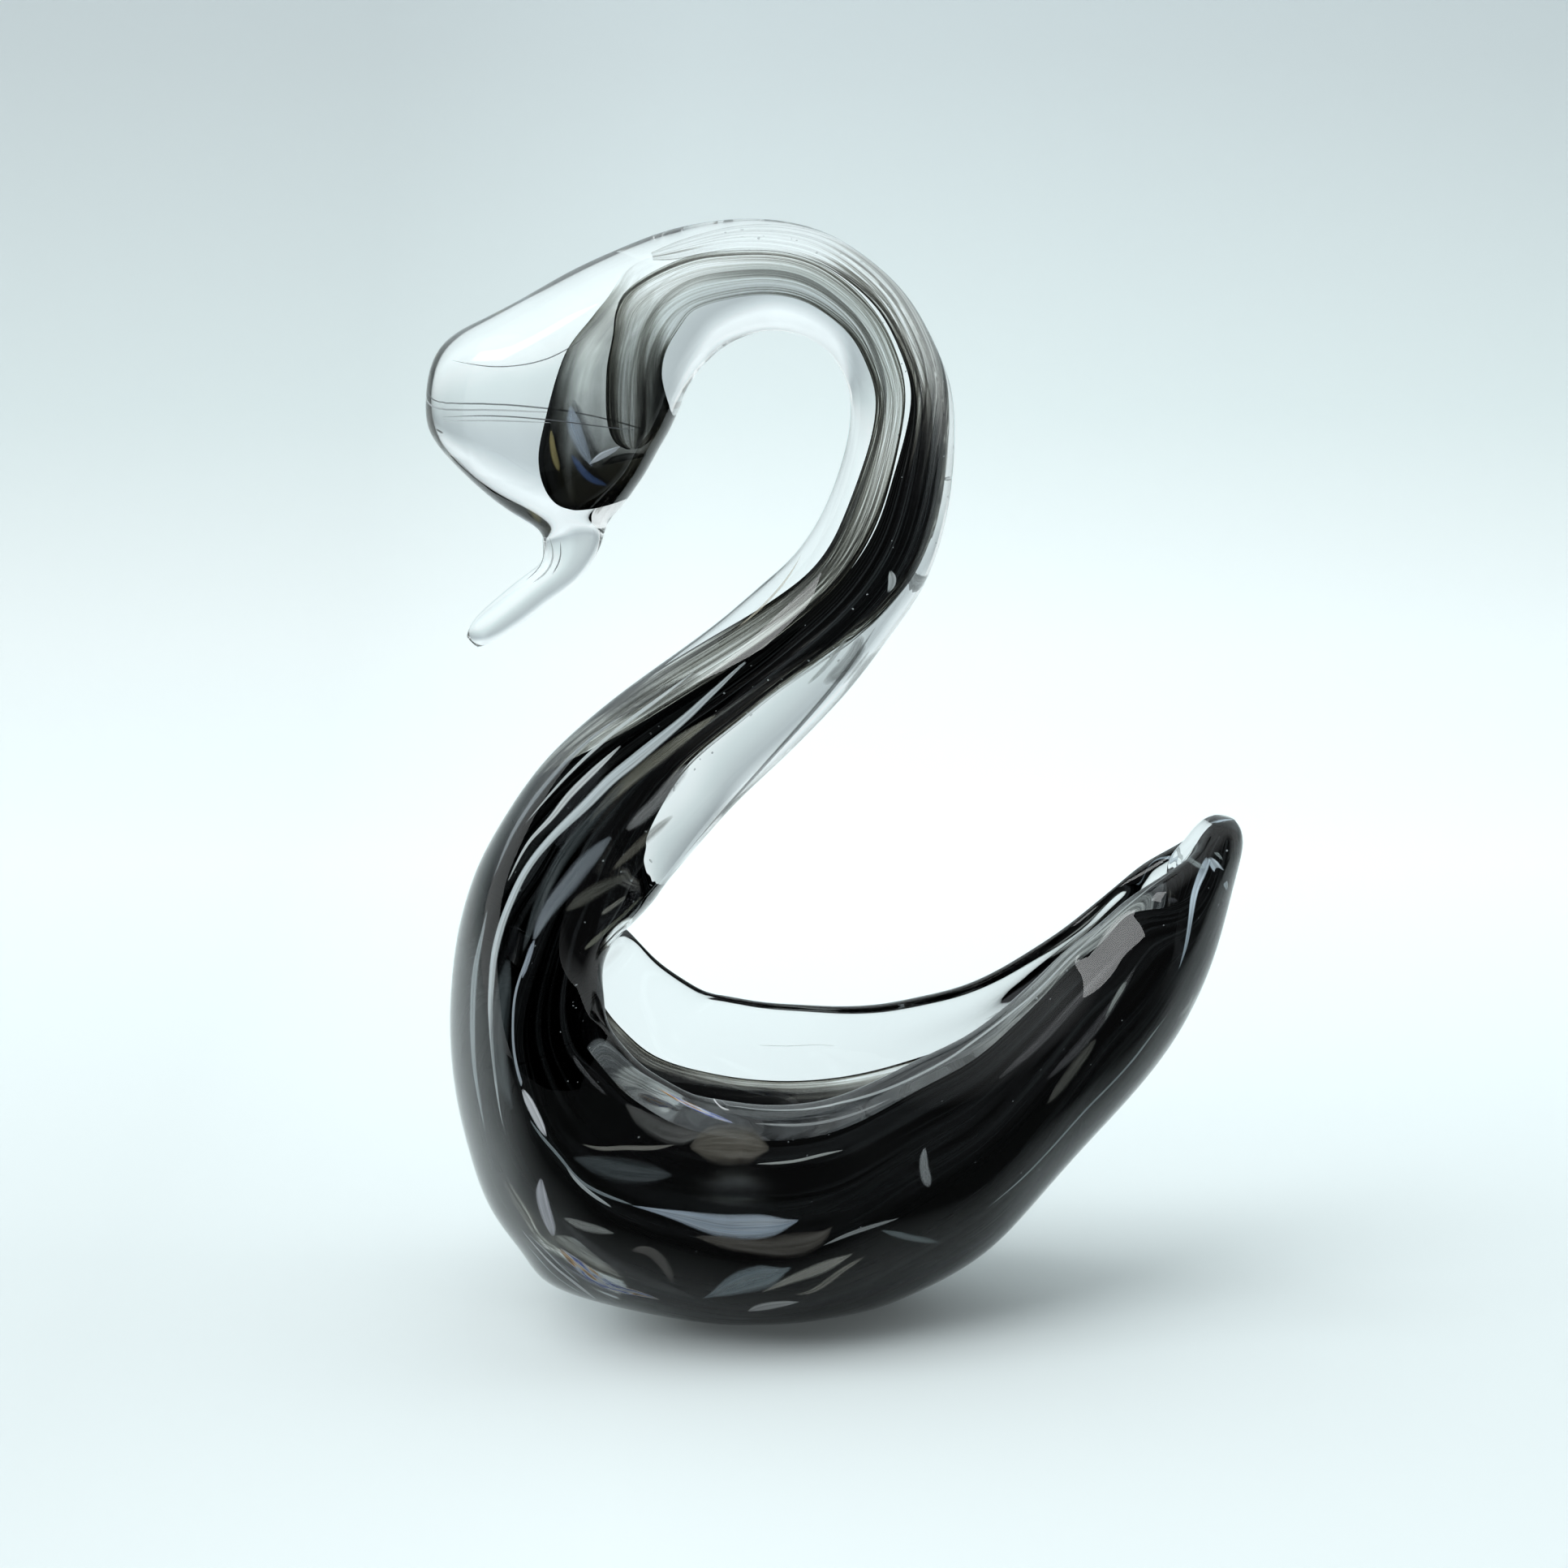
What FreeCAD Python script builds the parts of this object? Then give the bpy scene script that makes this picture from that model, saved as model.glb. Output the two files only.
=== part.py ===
"""Hand-made cased-glass swan dish, built gather by gather.

Millimetres.  +Z up, the head looks along -X, the tail points along +X, and the piece is the same on
both sides of the XZ plane.  The outer glass is one long form that is swept from the tail tip, along the
belly, up the breast and over the neck into the head.  Each rib of that sweep is a row of the rib table:
keel point, rim (or back) point, half width at the rim, greatest half width, glass thickness at the
floor, at the wall and at the rim, how far the section has closed from an open bowl to a solid neck, and
how square the solid section is.
"""
import FreeCAD
import Part
import math
import os

os.makedirs("parts", exist_ok=True)
doc = FreeCAD.newDocument("swan_dish")
V = FreeCAD.Vector

# ---------------------------------------------------------------- sizes
# keel x, keel z, rim x, rim z, rim half width, half width, floor, wall, rim, closed, squareness
RIBS = [
    [64.31, 82.35, 61.07, 83.03, 0.6, 1.6, 2.2, 2.2, 2.0, 1, 2],
    [65.4, 80.72, 59.28, 82.32, 1.6, 4.2, 5.2, 4.6, 3.8, 0.9, 2],
    [65.73, 78.0, 57.38, 80.4, 3.0, 6.4, 8.6, 6.2, 4.6, 0.8, 2],
    [65.15, 74.74, 55.4, 78.38, 3.8, 8.18, 9.6, 7.0, 4.6, 0.55, 2],
    [63.95, 69.42, 52.89, 75.99, 5.0, 10.1, 10.6, 7.6, 4.8, 0.3, 2],
    [62.01, 61.47, 49.73, 73.32, 5.7, 12.02, 11.2, 8.2, 5.0, 0.08, 2],
    [59.13, 53.34, 46.09, 70.0, 6.1, 13.68, 11.6, 8.8, 5.2, 0, 2],
    [55.03, 45.45, 41.92, 66.28, 6.4, 15.48, 12.0, 9.4, 5.8, 0, 2],
    [49.18, 37.38, 37.04, 62.24, 6.4, 17.5, 12.6, 9.8, 6.0, 0, 2],
    [41.96, 29.13, 31.83, 57.87, 8.8, 20.0, 13.4, 10.0, 6.0, 0, 2],
    [34.04, 19.99, 26.49, 53.73, 11.5, 23.2, 14.0, 10.0, 6.0, 0, 2],
    [25.66, 10.78, 20.38, 50.01, 14.6, 26.6, 14.4, 9.8, 5.8, 0, 1.9],
    [16.68, 4.6, 13.78, 47.45, 17.4, 30.0, 14.4, 9.4, 5.6, 0, 1.6],
    [7.91, 0.72, 7.21, 45.15, 21.0, 32.8, 14.2, 9.0, 5.4, 0, 1.6],
    [1.84, -0.6, 0.67, 43.53, 25.4, 35.0, 14.2, 9.0, 5.2, 0, 1.8],
    [-6.66, -1.6, -6.04, 42.91, 28.6, 36.4, 14.2, 9.0, 5.2, 0, 2.05],
    [-15.16, -1.8, -13.21, 43.15, 29.8, 37.0, 14.2, 9.0, 5.2, 0, 2.1],
    [-23.66, -1.4, -19.86, 44.21, 30.2, 37.2, 14.2, 9.0, 5.2, 0, 1.9],
    [-46.44, 3.97, -24.58, 45.87, 30.4, 37.2, 14.8, 9.4, 5.2, 0, 1.5],
    [-52.18, 9.58, -28.51, 48.32, 31.0, 37.2, 15.8, 10.0, 5.2, 0, 1.4],
    [-57.32, 17.2, -31.53, 50.76, 31.6, 37.0, 17.0, 11.0, 5.2, 0, 1.4],
    [-60.79, 26.88, -34.06, 53.54, 31.6, 36.6, 18.2, 12.2, 5.4, 0, 1.4],
    [-62.89, 36.96, -35.53, 55.75, 30.4, 35.6, 19.4, 13.6, 5.8, 0.04, 1.4],
    [-63.66, 46.98, -36.09, 57.79, 27.6, 33.4, 20.6, 15.0, 6.6, 0.12, 1.4],
    [-63.24, 55.69, -35.7, 59.62, 23.6, 29.8, 21.8, 16.0, 7.6, 0.28, 1.5],
    [-62.04, 63.94, -34.39, 62.33, 19.4, 25.8, 23.0, 17.0, 9.0, 0.5, 1.6],
    [-59.92, 71.46, -32.46, 65.39, 15.6, 22.0, 24.5, 18.0, 10.5, 0.75, 1.8],
    [-56.64, 78.68, -29.75, 69.23, 12.4, 18.6, 26.0, 19.0, 12.0, 0.93, 2.05],
    [-50.44, 88.44, -27.91, 72.15, 8.3, 16.6, 27.8, 27.8, 13.9, 1.0, 2.0],
    [-43.11, 96.52, -22.59, 78.55, 7.5, 15.0, 27.28, 27.28, 13.64, 1.0, 2.0],
    [-35.18, 103.22, -16.89, 85.06, 6.6, 13.2, 25.77, 25.77, 12.89, 1.0, 2.0],
    [-26.63, 109.49, -10.31, 91.54, 6.15, 12.3, 24.27, 24.27, 12.13, 1.0, 2.0],
    [-18.77, 115.47, -3.74, 98.13, 5.8, 11.6, 22.95, 22.95, 11.48, 1.0, 2.0],
    [-12.24, 121.17, 2.79, 105.49, 5.45, 10.9, 21.72, 21.72, 10.86, 1.0, 2.0],
    [-7.69, 125.39, 7.98, 112.55, 5.15, 10.3, 20.26, 20.26, 10.13, 1.0, 2.0],
    [-4.06, 130.4, 12.5, 119.18, 5.0, 10, 20.0, 20.0, 10.0, 1.0, 2.0],
    [-1.6, 135.38, 15.7, 126.45, 4.9, 9.8, 19.48, 19.48, 9.74, 1.0, 2.0],
    [0.32, 140.87, 17.58, 134.99, 4.6, 9.2, 18.23, 18.23, 9.12, 1.0, 2.0],
    [1.47, 146.08, 18.28, 143.48, 4.3, 8.6, 17.01, 17.01, 8.51, 1.0, 2.0],
    [1.58, 151.28, 17.69, 152.57, 4.1, 8.2, 16.16, 16.16, 8.08, 1.0, 2.0],
    [0.41, 155.16, 14.79, 160.33, 3.95, 7.9, 15.28, 15.28, 7.64, 1.0, 2.0],
    [-1.92, 158.65, 10.63, 167.4, 3.95, 7.9, 15.3, 15.3, 7.65, 1.0, 2.0],
    [-5.13, 160.84, 4.71, 173.16, 4.05, 8.1, 15.76, 15.76, 7.88, 1.0, 2.0],
    [-8.99, 161.87, -2.6, 177.5, 4.2, 8.4, 16.88, 16.88, 8.44, 1.0, 2.0],
    [-12.84, 161.74, -10.9, 179.41, 4.4, 8.8, 17.77, 17.77, 8.88, 1.0, 2.0],
    [-16.7, 160.33, -19.21, 179.28, 4.7, 9.4, 19.12, 19.12, 9.56, 1.0, 2.0],
    [-19.92, 158.13, -27.52, 177.62, 5.1, 10.2, 20.92, 20.92, 10.46, 1.0, 2.0],
    [-22.25, 155.68, -35.21, 174.69, 5.45, 10.9, 23.01, 23.01, 11.51, 1.0, 2.14],
    [-23.67, 153.74, -42.93, 171.11, 5.75, 11.5, 25.93, 25.93, 12.97, 1.0, 2.27],
    [-24.45, 152.31, -50.67, 166.75, 6.0, 12, 29.93, 29.93, 14.97, 1.0, 2.38],
    [-24.98, 150.89, -57.14, 163.41, 6.15, 12.3, 34.52, 34.52, 17.26, 1.0, 2.45],
    [-25.37, 149.72, -62.33, 160.33, 6.2, 12.4, 38.45, 38.45, 19.23, 1.0, 2.49],
    [-26.15, 148.03, -64.98, 155.81, 6.15, 12.3, 39.6, 39.6, 19.8, 1.0, 2.49],
    [-27.2, 145.82, -65.74, 149.98, 5.95, 11.9, 38.76, 38.76, 19.38, 1.0, 2.45],
    [-28.77, 143.09, -65.16, 146.08, 5.6, 11.2, 36.52, 36.52, 18.26, 1.0, 2.38],
    [-30.73, 139.57, -62.77, 142.44, 5.1, 10.2, 32.17, 32.17, 16.09, 1.0, 2.27],
    [-32.83, 136.43, -59.47, 138.91, 4.45, 8.9, 26.76, 26.76, 13.38, 1.0, 2.14],
    [-34.92, 133.68, -55.64, 135.38, 3.6, 7.2, 20.79, 20.79, 10.39, 1.0, 2.0],
    [-36.89, 131.31, -51.41, 132.37, 2.8, 5.6, 14.56, 14.56, 7.28, 1.0, 2.0],
    [-37.69, 129.08, -48.06, 130.0, 2.3, 4.6, 10.42, 10.42, 5.21, 1.0, 2.0],
    [-38.49, 126.84, -47.19, 127.5, 2.1, 4.2, 8.72, 8.72, 4.36, 1.0, 2.0],
    [-40.21, 123.81, -47.61, 125.13, 1.95, 3.9, 7.51, 7.51, 3.76, 1.0, 2.0],
    [-42.84, 120.9, -49.32, 123.41, 1.85, 3.7, 6.95, 6.95, 3.47, 1.0, 2.0],
    [-46.39, 118.26, -51.95, 121.43, 1.75, 3.5, 6.4, 6.4, 3.2, 1.0, 2.0],
    [-49.81, 115.61, -54.98, 118.92, 1.65, 3.3, 6.14, 6.14, 3.07, 1.0, 2.0],
    [-53.37, 113.08, -57.62, 116.53, 1.5, 3.0, 5.48, 5.48, 2.74, 1.0, 2.0],
    [-56.27, 111.49, -59.22, 114.54, 1.2, 2.4, 4.25, 4.25, 2.13, 1.0, 2.0],
    [-57.97, 110.96, -59.9, 112.82, 0.7, 1.4, 2.68, 2.68, 1.34, 1.0, 2.0],
]
RIB_COLS = ["keelx", "keelz", "rimx", "rimz", "rimw", "width", "floor", "wall", "lip", "closed", "square"]
# smoke rods and bulb: near point x z, far point x z, half width
FRONT_ROD = [
    [-60.53, 41.42, -59.53, 41.81, 3.41],
    [-61.05, 44.12, -58.57, 45.1, 8.52],
    [-61.18, 47.95, -57.87, 49.25, 11.36],
    [-60.76, 56.04, -57.18, 56.55, 10.13],
    [-59.28, 63.78, -55.68, 63.57, 8.77],
    [-56.9, 70.79, -53.06, 69.94, 7.48],
    [-53.41, 77.55, -49.38, 76.13, 6.7],
    [-47.29, 86.16, -43.91, 83.72, 6.31],
    [-39.93, 93.73, -36.65, 90.86, 5.7],
    [-32.07, 100.13, -28.96, 97.05, 5.02],
    [-23.69, 106.26, -20.67, 102.94, 4.67],
    [-15.96, 112.23, -12.95, 108.76, 4.41],
    [-9.23, 118.03, -6.0, 114.66, 4.14],
    [-4.24, 122.57, -0.8, 119.74, 3.91],
    [-0.0, 127.65, 3.39, 125.35, 3.8],
    [3.07, 132.97, 6.36, 131.27, 3.72],
    [5.41, 139.14, 8.43, 138.11, 3.5],
    [6.85, 145.25, 9.71, 144.81, 3.27],
    [7.06, 151.72, 10.12, 151.96, 3.12],
    [5.44, 156.97, 8.46, 158.06, 3.0],
    [2.6, 161.8, 5.42, 163.77, 3.0],
    [-1.49, 165.4, 0.87, 168.36, 3.08],
    [-6.53, 167.89, -4.9, 171.87, 3.19],
    [-12.08, 168.63, -11.58, 173.23, 3.34],
    [-17.7, 167.91, -18.37, 172.93, 3.57],
    [-23.07, 166.22, -25.09, 171.38, 3.67],
    [-26.07, 163.54, -33.74, 166.5, 3.0],
    [-28.4, 160.33, -35.71, 162.26, 3.2],
    [-29.97, 156.2, -37.04, 156.84, 3.5],
    [-30.51, 151.8, -37.6, 151.8, 3.6],
    [-31.18, 148.42, -37.51, 147.9, 3.1],
    [-32.49, 146.08, -36.5, 145.56, 1.9],
    [-33.66, 145.04, -35.21, 144.78, 0.8],
]
REAR_ROD = [
    [-42.78, 82.9, -35.12, 77.36, 11.29],
    [-35.72, 90.05, -30.39, 85.38, 9.3],
    [-28.23, 96.32, -24.48, 92.6, 7.39],
    [-20.02, 102.22, -17.08, 98.99, 6.64],
    [-12.31, 108.01, -9.75, 105.07, 6.03],
    [-5.4, 114.04, -2.32, 110.82, 5.67],
    [-0.17, 119.23, 3.51, 116.21, 5.36],
    [4.05, 124.9, 8.28, 122.04, 5.2],
    [7.05, 130.92, 11.55, 128.59, 5.1],
    [9.12, 137.87, 13.61, 136.34, 4.78],
    [10.38, 144.7, 14.5, 144.06, 4.3],
    [10.68, 152.01, 14.15, 152.29, 4.1],
    [8.97, 158.24, 11.7, 159.22, 3.95],
    [5.86, 164.08, 7.93, 165.52, 3.79],
    [1.22, 168.79, 2.61, 170.54, 3.73],
    [-4.71, 172.34, -3.96, 174.17, 3.7],
    [-11.52, 173.76, -11.33, 175.52, 3.52],
    [-18.44, 173.5, -18.63, 174.92, 3.2],
    [-25.32, 171.97, -25.73, 173.04, 2.45],
    [-28.83, 171.43, -29.02, 171.92, 1.1],
]
BULB = [
    [-24.25, 166.5, -32.31, 169.83, 3.2],
    [-25.29, 164.7, -34.76, 167.27, 3.9],
    [-26.84, 162.64, -37.61, 164.19, 4.6],
    [-28.79, 159.81, -40.99, 160.84, 5.4],
    [-29.97, 156.45, -43.86, 156.97, 6.2],
    [-30.12, 152.31, -45.59, 152.31, 6.9],
    [-29.77, 148.03, -46.8, 147.9, 7.3],
    [-30.05, 144.78, -47.63, 144.13, 7.3],
    [-31.23, 141.92, -47.41, 140.61, 6.8],
    [-33.45, 138.91, -46.28, 137.74, 5.6],
    [-36.58, 136.56, -44.62, 135.77, 3.6],
    [-39.7, 135.38, -42.69, 134.99, 1.4],
]
ROD_COLS = ["ax", "az", "bx", "bz", "width"]
SEAM = [
    [-6.66, 74.0],
    [-17.66, 67.4],
    [-30.86, 61.9],
    [-40.16, 55.2],
    [-48.16, 48.5],
    [-51.86, 42.5],
    [-52.66, 36.5],
    [-52.06, 30.5],
    [-51.26, 24.0],
    [-50.66, 17.5],
    [-49.66, 11.0],
    [-47.86, 4.0],
    [-44.66, -6.0],
    [-42.66, -12.0],
]
SEAM_COLS = ["px", "pz"]
# ribs where the lining closes into the neck: from, to (share of the rib), half width share, mix
CLOSE = [
    [0.26, 0.8, 0.8, 0.12],
    [0.27, 0.81, 0.8, 0.3],
    [0.28, 0.82, 0.8, 0.52],
    [0.29, 0.81, 0.79, 0.74],
    [0.3, 0.78, 0.76, 0.9],
    [0.32, 0.74, 0.72, 1.0],
]
CLOSE_COLS = ["lo", "hi", "width", "mix"]

single = {
    "overall_height": 179.5,      # foot to the top of the arch
    "overall_length": 131.5,      # nose to tail tip
    "overall_width": 74.0,        # across the bowl
    "foot_plane": 0.0,            # the ground flat foot
    "foot_stock": 12.0,           # glass that is ground away below the foot
    "beak_rib": 58,            # the rib where the beak is pulled from the head
    "lining_share": 0.56,         # share of the wall that is smoke
    "lining_drop": 0.80,          # how far up the wall the smoke reaches
    "close_rib": 22,              # first rib where the lining starts to close
    "rod_rib": 28,                # first rib of the neck's rear rod
    "lining_rib": 2,              # rib in the tail tip where the lining ends
    "tool_half": 60.0,            # half depth of the gather seam's cutting form
}

sheet = doc.addObject("Spreadsheet::Sheet", "sizes")
row = 1
for name, value in single.items():
    sheet.set("A%d" % row, name)
    sheet.set("B%d" % row, str(value))
    sheet.setAlias("B%d" % row, name)
    row += 1


def table(prefix, cols, data):
    """write a table into the sheet, one alias per number"""
    global row
    letters = "BCDEFGHIJKLMNOP"
    for i, line in enumerate(data):
        sheet.set("A%d" % row, "%s %d" % (prefix, i))
        for c, v in enumerate(line):
            cell = "%s%d" % (letters[c], row)
            sheet.set(cell, str(v))
            sheet.setAlias(cell, "%s_%s_%02d" % (prefix, cols[c], i))
        row += 1


table("rib", RIB_COLS, RIBS)
table("frontrod", ROD_COLS, FRONT_ROD)
table("rearrod", ROD_COLS, REAR_ROD)
table("bulb", ROD_COLS, BULB)
table("seam", SEAM_COLS, SEAM)
table("close", CLOSE_COLS, CLOSE)
doc.recompute()


def num(name):
    return float(sheet.get(name))


def read(prefix, cols, count):
    return [[num("%s_%s_%02d" % (prefix, c, i)) for c in cols] for i in range(count)]


ribs = read("rib", RIB_COLS, len(RIBS))
front_rod = read("frontrod", ROD_COLS, len(FRONT_ROD))
rear_rod = read("rearrod", ROD_COLS, len(REAR_ROD))
bulb_rows = read("bulb", ROD_COLS, len(BULB))
seam_pts = read("seam", SEAM_COLS, len(SEAM))
close_rows = read("close", CLOSE_COLS, len(CLOSE))

# ---------------------------------------------------------------- sections
NO,NT,NI=13,5,11      # samples per half: outer, tip, inner
def outer_share(share,f):
    g=min(1.0,f/0.45); g=g*g*(3-2*g)
    return share*(0.10+0.90*g)
def inner_share(share,f):
    g=min(1.0,f/0.45); g=g*g*(3-2*g)
    return share*(1.30-0.30*g)
def half_u(h_r,yr,wo,t0,tw,tr,full=2.0,share=1.0,top=1.0):
    """right half of an open bowl section, from the keel out, over the rim, back to the floor"""
    m0=(0.0,t0/2.0); m3=(yr,h_r-tr/2.0)
    wm=max(wo-tw/2.0,yr*0.6)
    m1=(wm*0.40*full,m0[1])
    m2=(wm*1.30-yr*0.16,m0[1]+(m3[1]-m0[1])*0.42)
    M=48; C=[];
    for i in range(M+1):
        t=i/M; a=(1-t)**3; b=3*t*(1-t)**2; c=3*t*t*(1-t); d=t**3
        C.append((a*m0[0]+b*m1[0]+c*m2[0]+d*m3[0],a*m0[1]+b*m1[1]+c*m2[1]+d*m3[1]))
    # arc length
    S=[0.0]
    for i in range(1,M+1): S.append(S[-1]+math.hypot(C[i][0]-C[i-1][0],C[i][1]-C[i-1][1]))
    Lc=S[-1]
    def at(f):
        s=f*Lc; k=0
        while k<M-1 and S[k+1]<s: k+=1
        q=(s-S[k])/max(1e-9,S[k+1]-S[k]); q=min(1,max(0,q))
        p=(C[k][0]+q*(C[k+1][0]-C[k][0]),C[k][1]+q*(C[k+1][1]-C[k][1]))
        k0=max(0,k-1); k1=min(M,k+2)
        tx,ty=C[k1][0]-C[k0][0],C[k1][1]-C[k0][1]; n=math.hypot(tx,ty) or 1
        if f<=1e-9: tx,ty,n=1,0,1
        return p,(tx/n,ty/n)
    def tau(f):
        # floor -> wall -> rim
        if f<0.5:
            g=f/0.5; g=g*g*(3-2*g); return (t0+(tw-t0)*g)/2
        g=(f-0.5)/0.5; g=g*g*(3-2*g); return (tw+(tr-tw)*g)/2
    P=[]
    for i in range(NO):
        f=top*i/NO; p,t=at(f); r=tau(f)*(share if share>=1 else outer_share(share,f)); P.append((p[0]+t[1]*r,p[1]-t[0]*r))
    p,t=at(top); r=tau(top)*share
    for i in range(NT+1):
        a=math.pi*i/NT; c,s=math.cos(a),math.sin(a)
        nx,ny=t[1],-t[0]
        P.append((p[0]+r*(nx*c+t[0]*s),p[1]+r*(ny*c+t[1]*s)))
    for i in range(1,NI+1):
        f=top*(1-i/NI); p,t=at(f); r=tau(f)*(share if share>=1 else inner_share(share,f)); P.append((max(0,p[0]-t[1]*r),p[1]+t[0]*r))
    P[0]=(0.0,P[0][1]); P[-1]=(0.0,P[-1][1])
    return P
def half_e(L,w,n,a_t=20.0,b_t=50.0):
    P=[]
    A=[-90+(a_t+90)*i/NO for i in range(NO)]+[a_t+(b_t-a_t)*i/NT for i in range(NT+1)]+[b_t+(90-b_t)*i/NI for i in range(1,NI+1)]
    for a in A:
        a=math.radians(a); c,s=math.cos(a),math.sin(a)
        x=w*abs(c)**(2/n); y=L/2*(1+math.copysign(abs(s)**(2/n),s)); P.append((x if abs(c)>1e-9 else 0.0,y))
    P[0]=(0.0,P[0][1]); P[-1]=(0.0,P[-1][1])
    return P
def place(row,H):
    Fx,Fz,Rx,Rz=row[:4]
    L=math.hypot(Rx-Fx,Rz-Fz); d=((Rx-Fx)/L,(Rz-Fz)/L)
    half=[(Fx+d[0]*h,y,Fz+d[1]*h) for y,h in H]
    left=[(x,-y,z) for x,y,z in half]
    return left+half[-2:0:-1]     # closed loop: keel, near side (-Y), far side back to the keel
def relax(H,times):
    """evens out a half section; its two ends stay on the middle plane and its size stays the same"""
    w0=max(p[0] for p in H); a0=min(p[1] for p in H); b0=max(p[1] for p in H)
    for _ in range(times):
        Q=[(-H[1][0],H[1][1])]+list(H)+[(-H[-2][0],H[-2][1])]
        H=[((Q[i-1][0]+2*Q[i][0]+Q[i+1][0])/4,(Q[i-1][1]+2*Q[i][1]+Q[i+1][1])/4) for i in range(1,len(Q)-1)]
        H[0]=(0.0,H[0][1]); H[-1]=(0.0,H[-1][1])
    w1=max(p[0] for p in H); a1=min(p[1] for p in H); b1=max(p[1] for p in H)
    return [(p[0]*w0/w1,a0+(p[1]-a1)*(b0-a0)/(b1-a1)) for p in H]
def section(row):
    Fx,Fz,Rx,Rz,yr,wo,t0,tw,tr,beta,n=row
    L=math.hypot(Rx-Fx,Rz-Fz); d=((Rx-Fx)/L,(Rz-Fz)/L)
    E=half_e(L,wo,max(n,2.0))
    if beta<1:
        U=half_u(L,yr,wo,t0,tw,tr,n)
        H=[((1-beta)*u[0]+beta*e[0],(1-beta)*u[1]+beta*e[1]) for u,e in zip(U,E)]
    else: H=E
    if 0.0<beta<1.0 or n<1.55: H=relax(H,6 if beta>0.02 else 3)
    return place(row,H)
def smoke_section(row,share,top,rod=None,mix=0.0):
    """the smoke layer inside a bowl rib, mixed towards a solid rod where the bowl closes into the neck"""
    Fx,Fz,Rx,Rz,yr,wo,t0,tw,tr,beta,n=row
    L=math.hypot(Rx-Fx,Rz-Fz)
    U=half_u(L,yr,wo,t0,tw,tr,n,share,top)
    if rod is None: return place(row,U)
    lo,hi,wf=rod
    E=[(y,lo*L+h) for y,h in half_e((hi-lo)*L,wo*wf,2.0)]
    H=[((1-mix)*u[0]+mix*e[0],(1-mix)*u[1]+mix*e[1]) for u,e in zip(U,E)]
    if 0.0<mix<1.0: H=relax(H,6)
    return place(row,H)


def periodic(points):
    """a smooth closed curve through the points, one even parameter step per point"""
    c = Part.BSplineCurve()
    n = len(points)
    c.interpolate(Points=[V(*p) for p in points], PeriodicFlag=True, Parameters=[float(i) for i in range(n + 1)])
    return c


def loft(sections):
    """a solid through closed sections: one skin that is smooth both ways, and a flat cap at each end"""
    curves = [periodic(s) for s in sections]
    poles = [c.getPoles() for c in curves]
    n = len(poles[0])
    mid = [sum((V(*p) for p in s), V(0, 0, 0)) * (1.0 / len(s)) for s in sections]
    par = [0.0]
    for k in range(1, len(sections)):
        step = (sum((V(*sections[k][j]) - V(*sections[k - 1][j])).Length for j in range(0, len(sections[k]), 4))
                / len(range(0, len(sections[k]), 4)))
        par.append(par[-1] + max(step, 0.05) ** 0.5)
    rows_ = []
    ref = None
    for j in range(n):
        c = Part.BSplineCurve()
        c.interpolate(Points=[p[j] for p in poles], Parameters=par)
        rows_.append(c.getPoles())
        ref = c
    grid = [[rows_[j][i] for j in range(n)] for i in range(len(rows_[0]))]
    surf = Part.BSplineSurface()
    surf.buildFromPolesMultsKnots(grid, ref.getMultiplicities(), curves[0].getMultiplicities(),
                                  ref.getKnots(), curves[0].getKnots(), False, True, ref.Degree, curves[0].Degree)
    skin = surf.toShape()
    caps = []
    for k in (0, -1):
        u0, u1, v0, v1 = surf.bounds()
        edge = surf.uIso(u0 if k == 0 else u1).toShape()
        caps.append(Part.Face(Part.Wire([edge])))
    shell = Part.makeShell([skin] + caps)
    shell.sewShape()
    solid = Part.Solid(Part.Shell(shell.Faces))
    if solid.Volume < 0:
        solid.reverse()
    return solid


def oval(row, count=24):
    ax, az, bx, bz, w = row
    L = math.hypot(bx - ax, bz - az)
    cx, cz, dx, dz = (ax + bx) / 2.0, (az + bz) / 2.0, (bx - ax) / L, (bz - az) / L
    out = []
    for i in range(count):
        t = 2.0 * math.pi * i / count
        h, y = -math.cos(t) * L / 2.0, -math.sin(t) * w
        out.append((cx + dx * h, y, cz + dz * h))
    return out


def feature(name, shape):
    o = doc.addObject("Part::Feature", name)
    o.Label = name
    o.Shape = shape
    return o

# ---------------------------------------------------------------- the forms
beak_rib = int(num("beak_rib"))
close_rib = int(num("close_rib"))
rod_rib = int(num("rod_rib"))
lining_rib = int(num("lining_rib"))
share = num("lining_share")
drop = num("lining_drop")

outer = feature("outer_form", loft([section(r) for r in ribs[:beak_rib + 1]]))

# the ground flat foot
ground = doc.addObject("Part::Box", "foot_grind")
ground.Label = "foot_grind"
ground.setExpression("Length", "sizes.overall_length * 1.2 * 1mm")
ground.setExpression("Width", "sizes.overall_width * 1.2 * 1mm")
ground.setExpression("Height", "sizes.foot_stock * 1mm")
ground.setExpression("Placement.Base.x", "-sizes.overall_length * 0.6 * 1mm")
ground.setExpression("Placement.Base.y", "-sizes.overall_width * 0.6 * 1mm")
ground.setExpression("Placement.Base.z", "(sizes.foot_plane - sizes.foot_stock) * 1mm")
body = doc.addObject("Part::Cut", "body_ground")
body.Base = outer
body.Tool = ground

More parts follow.
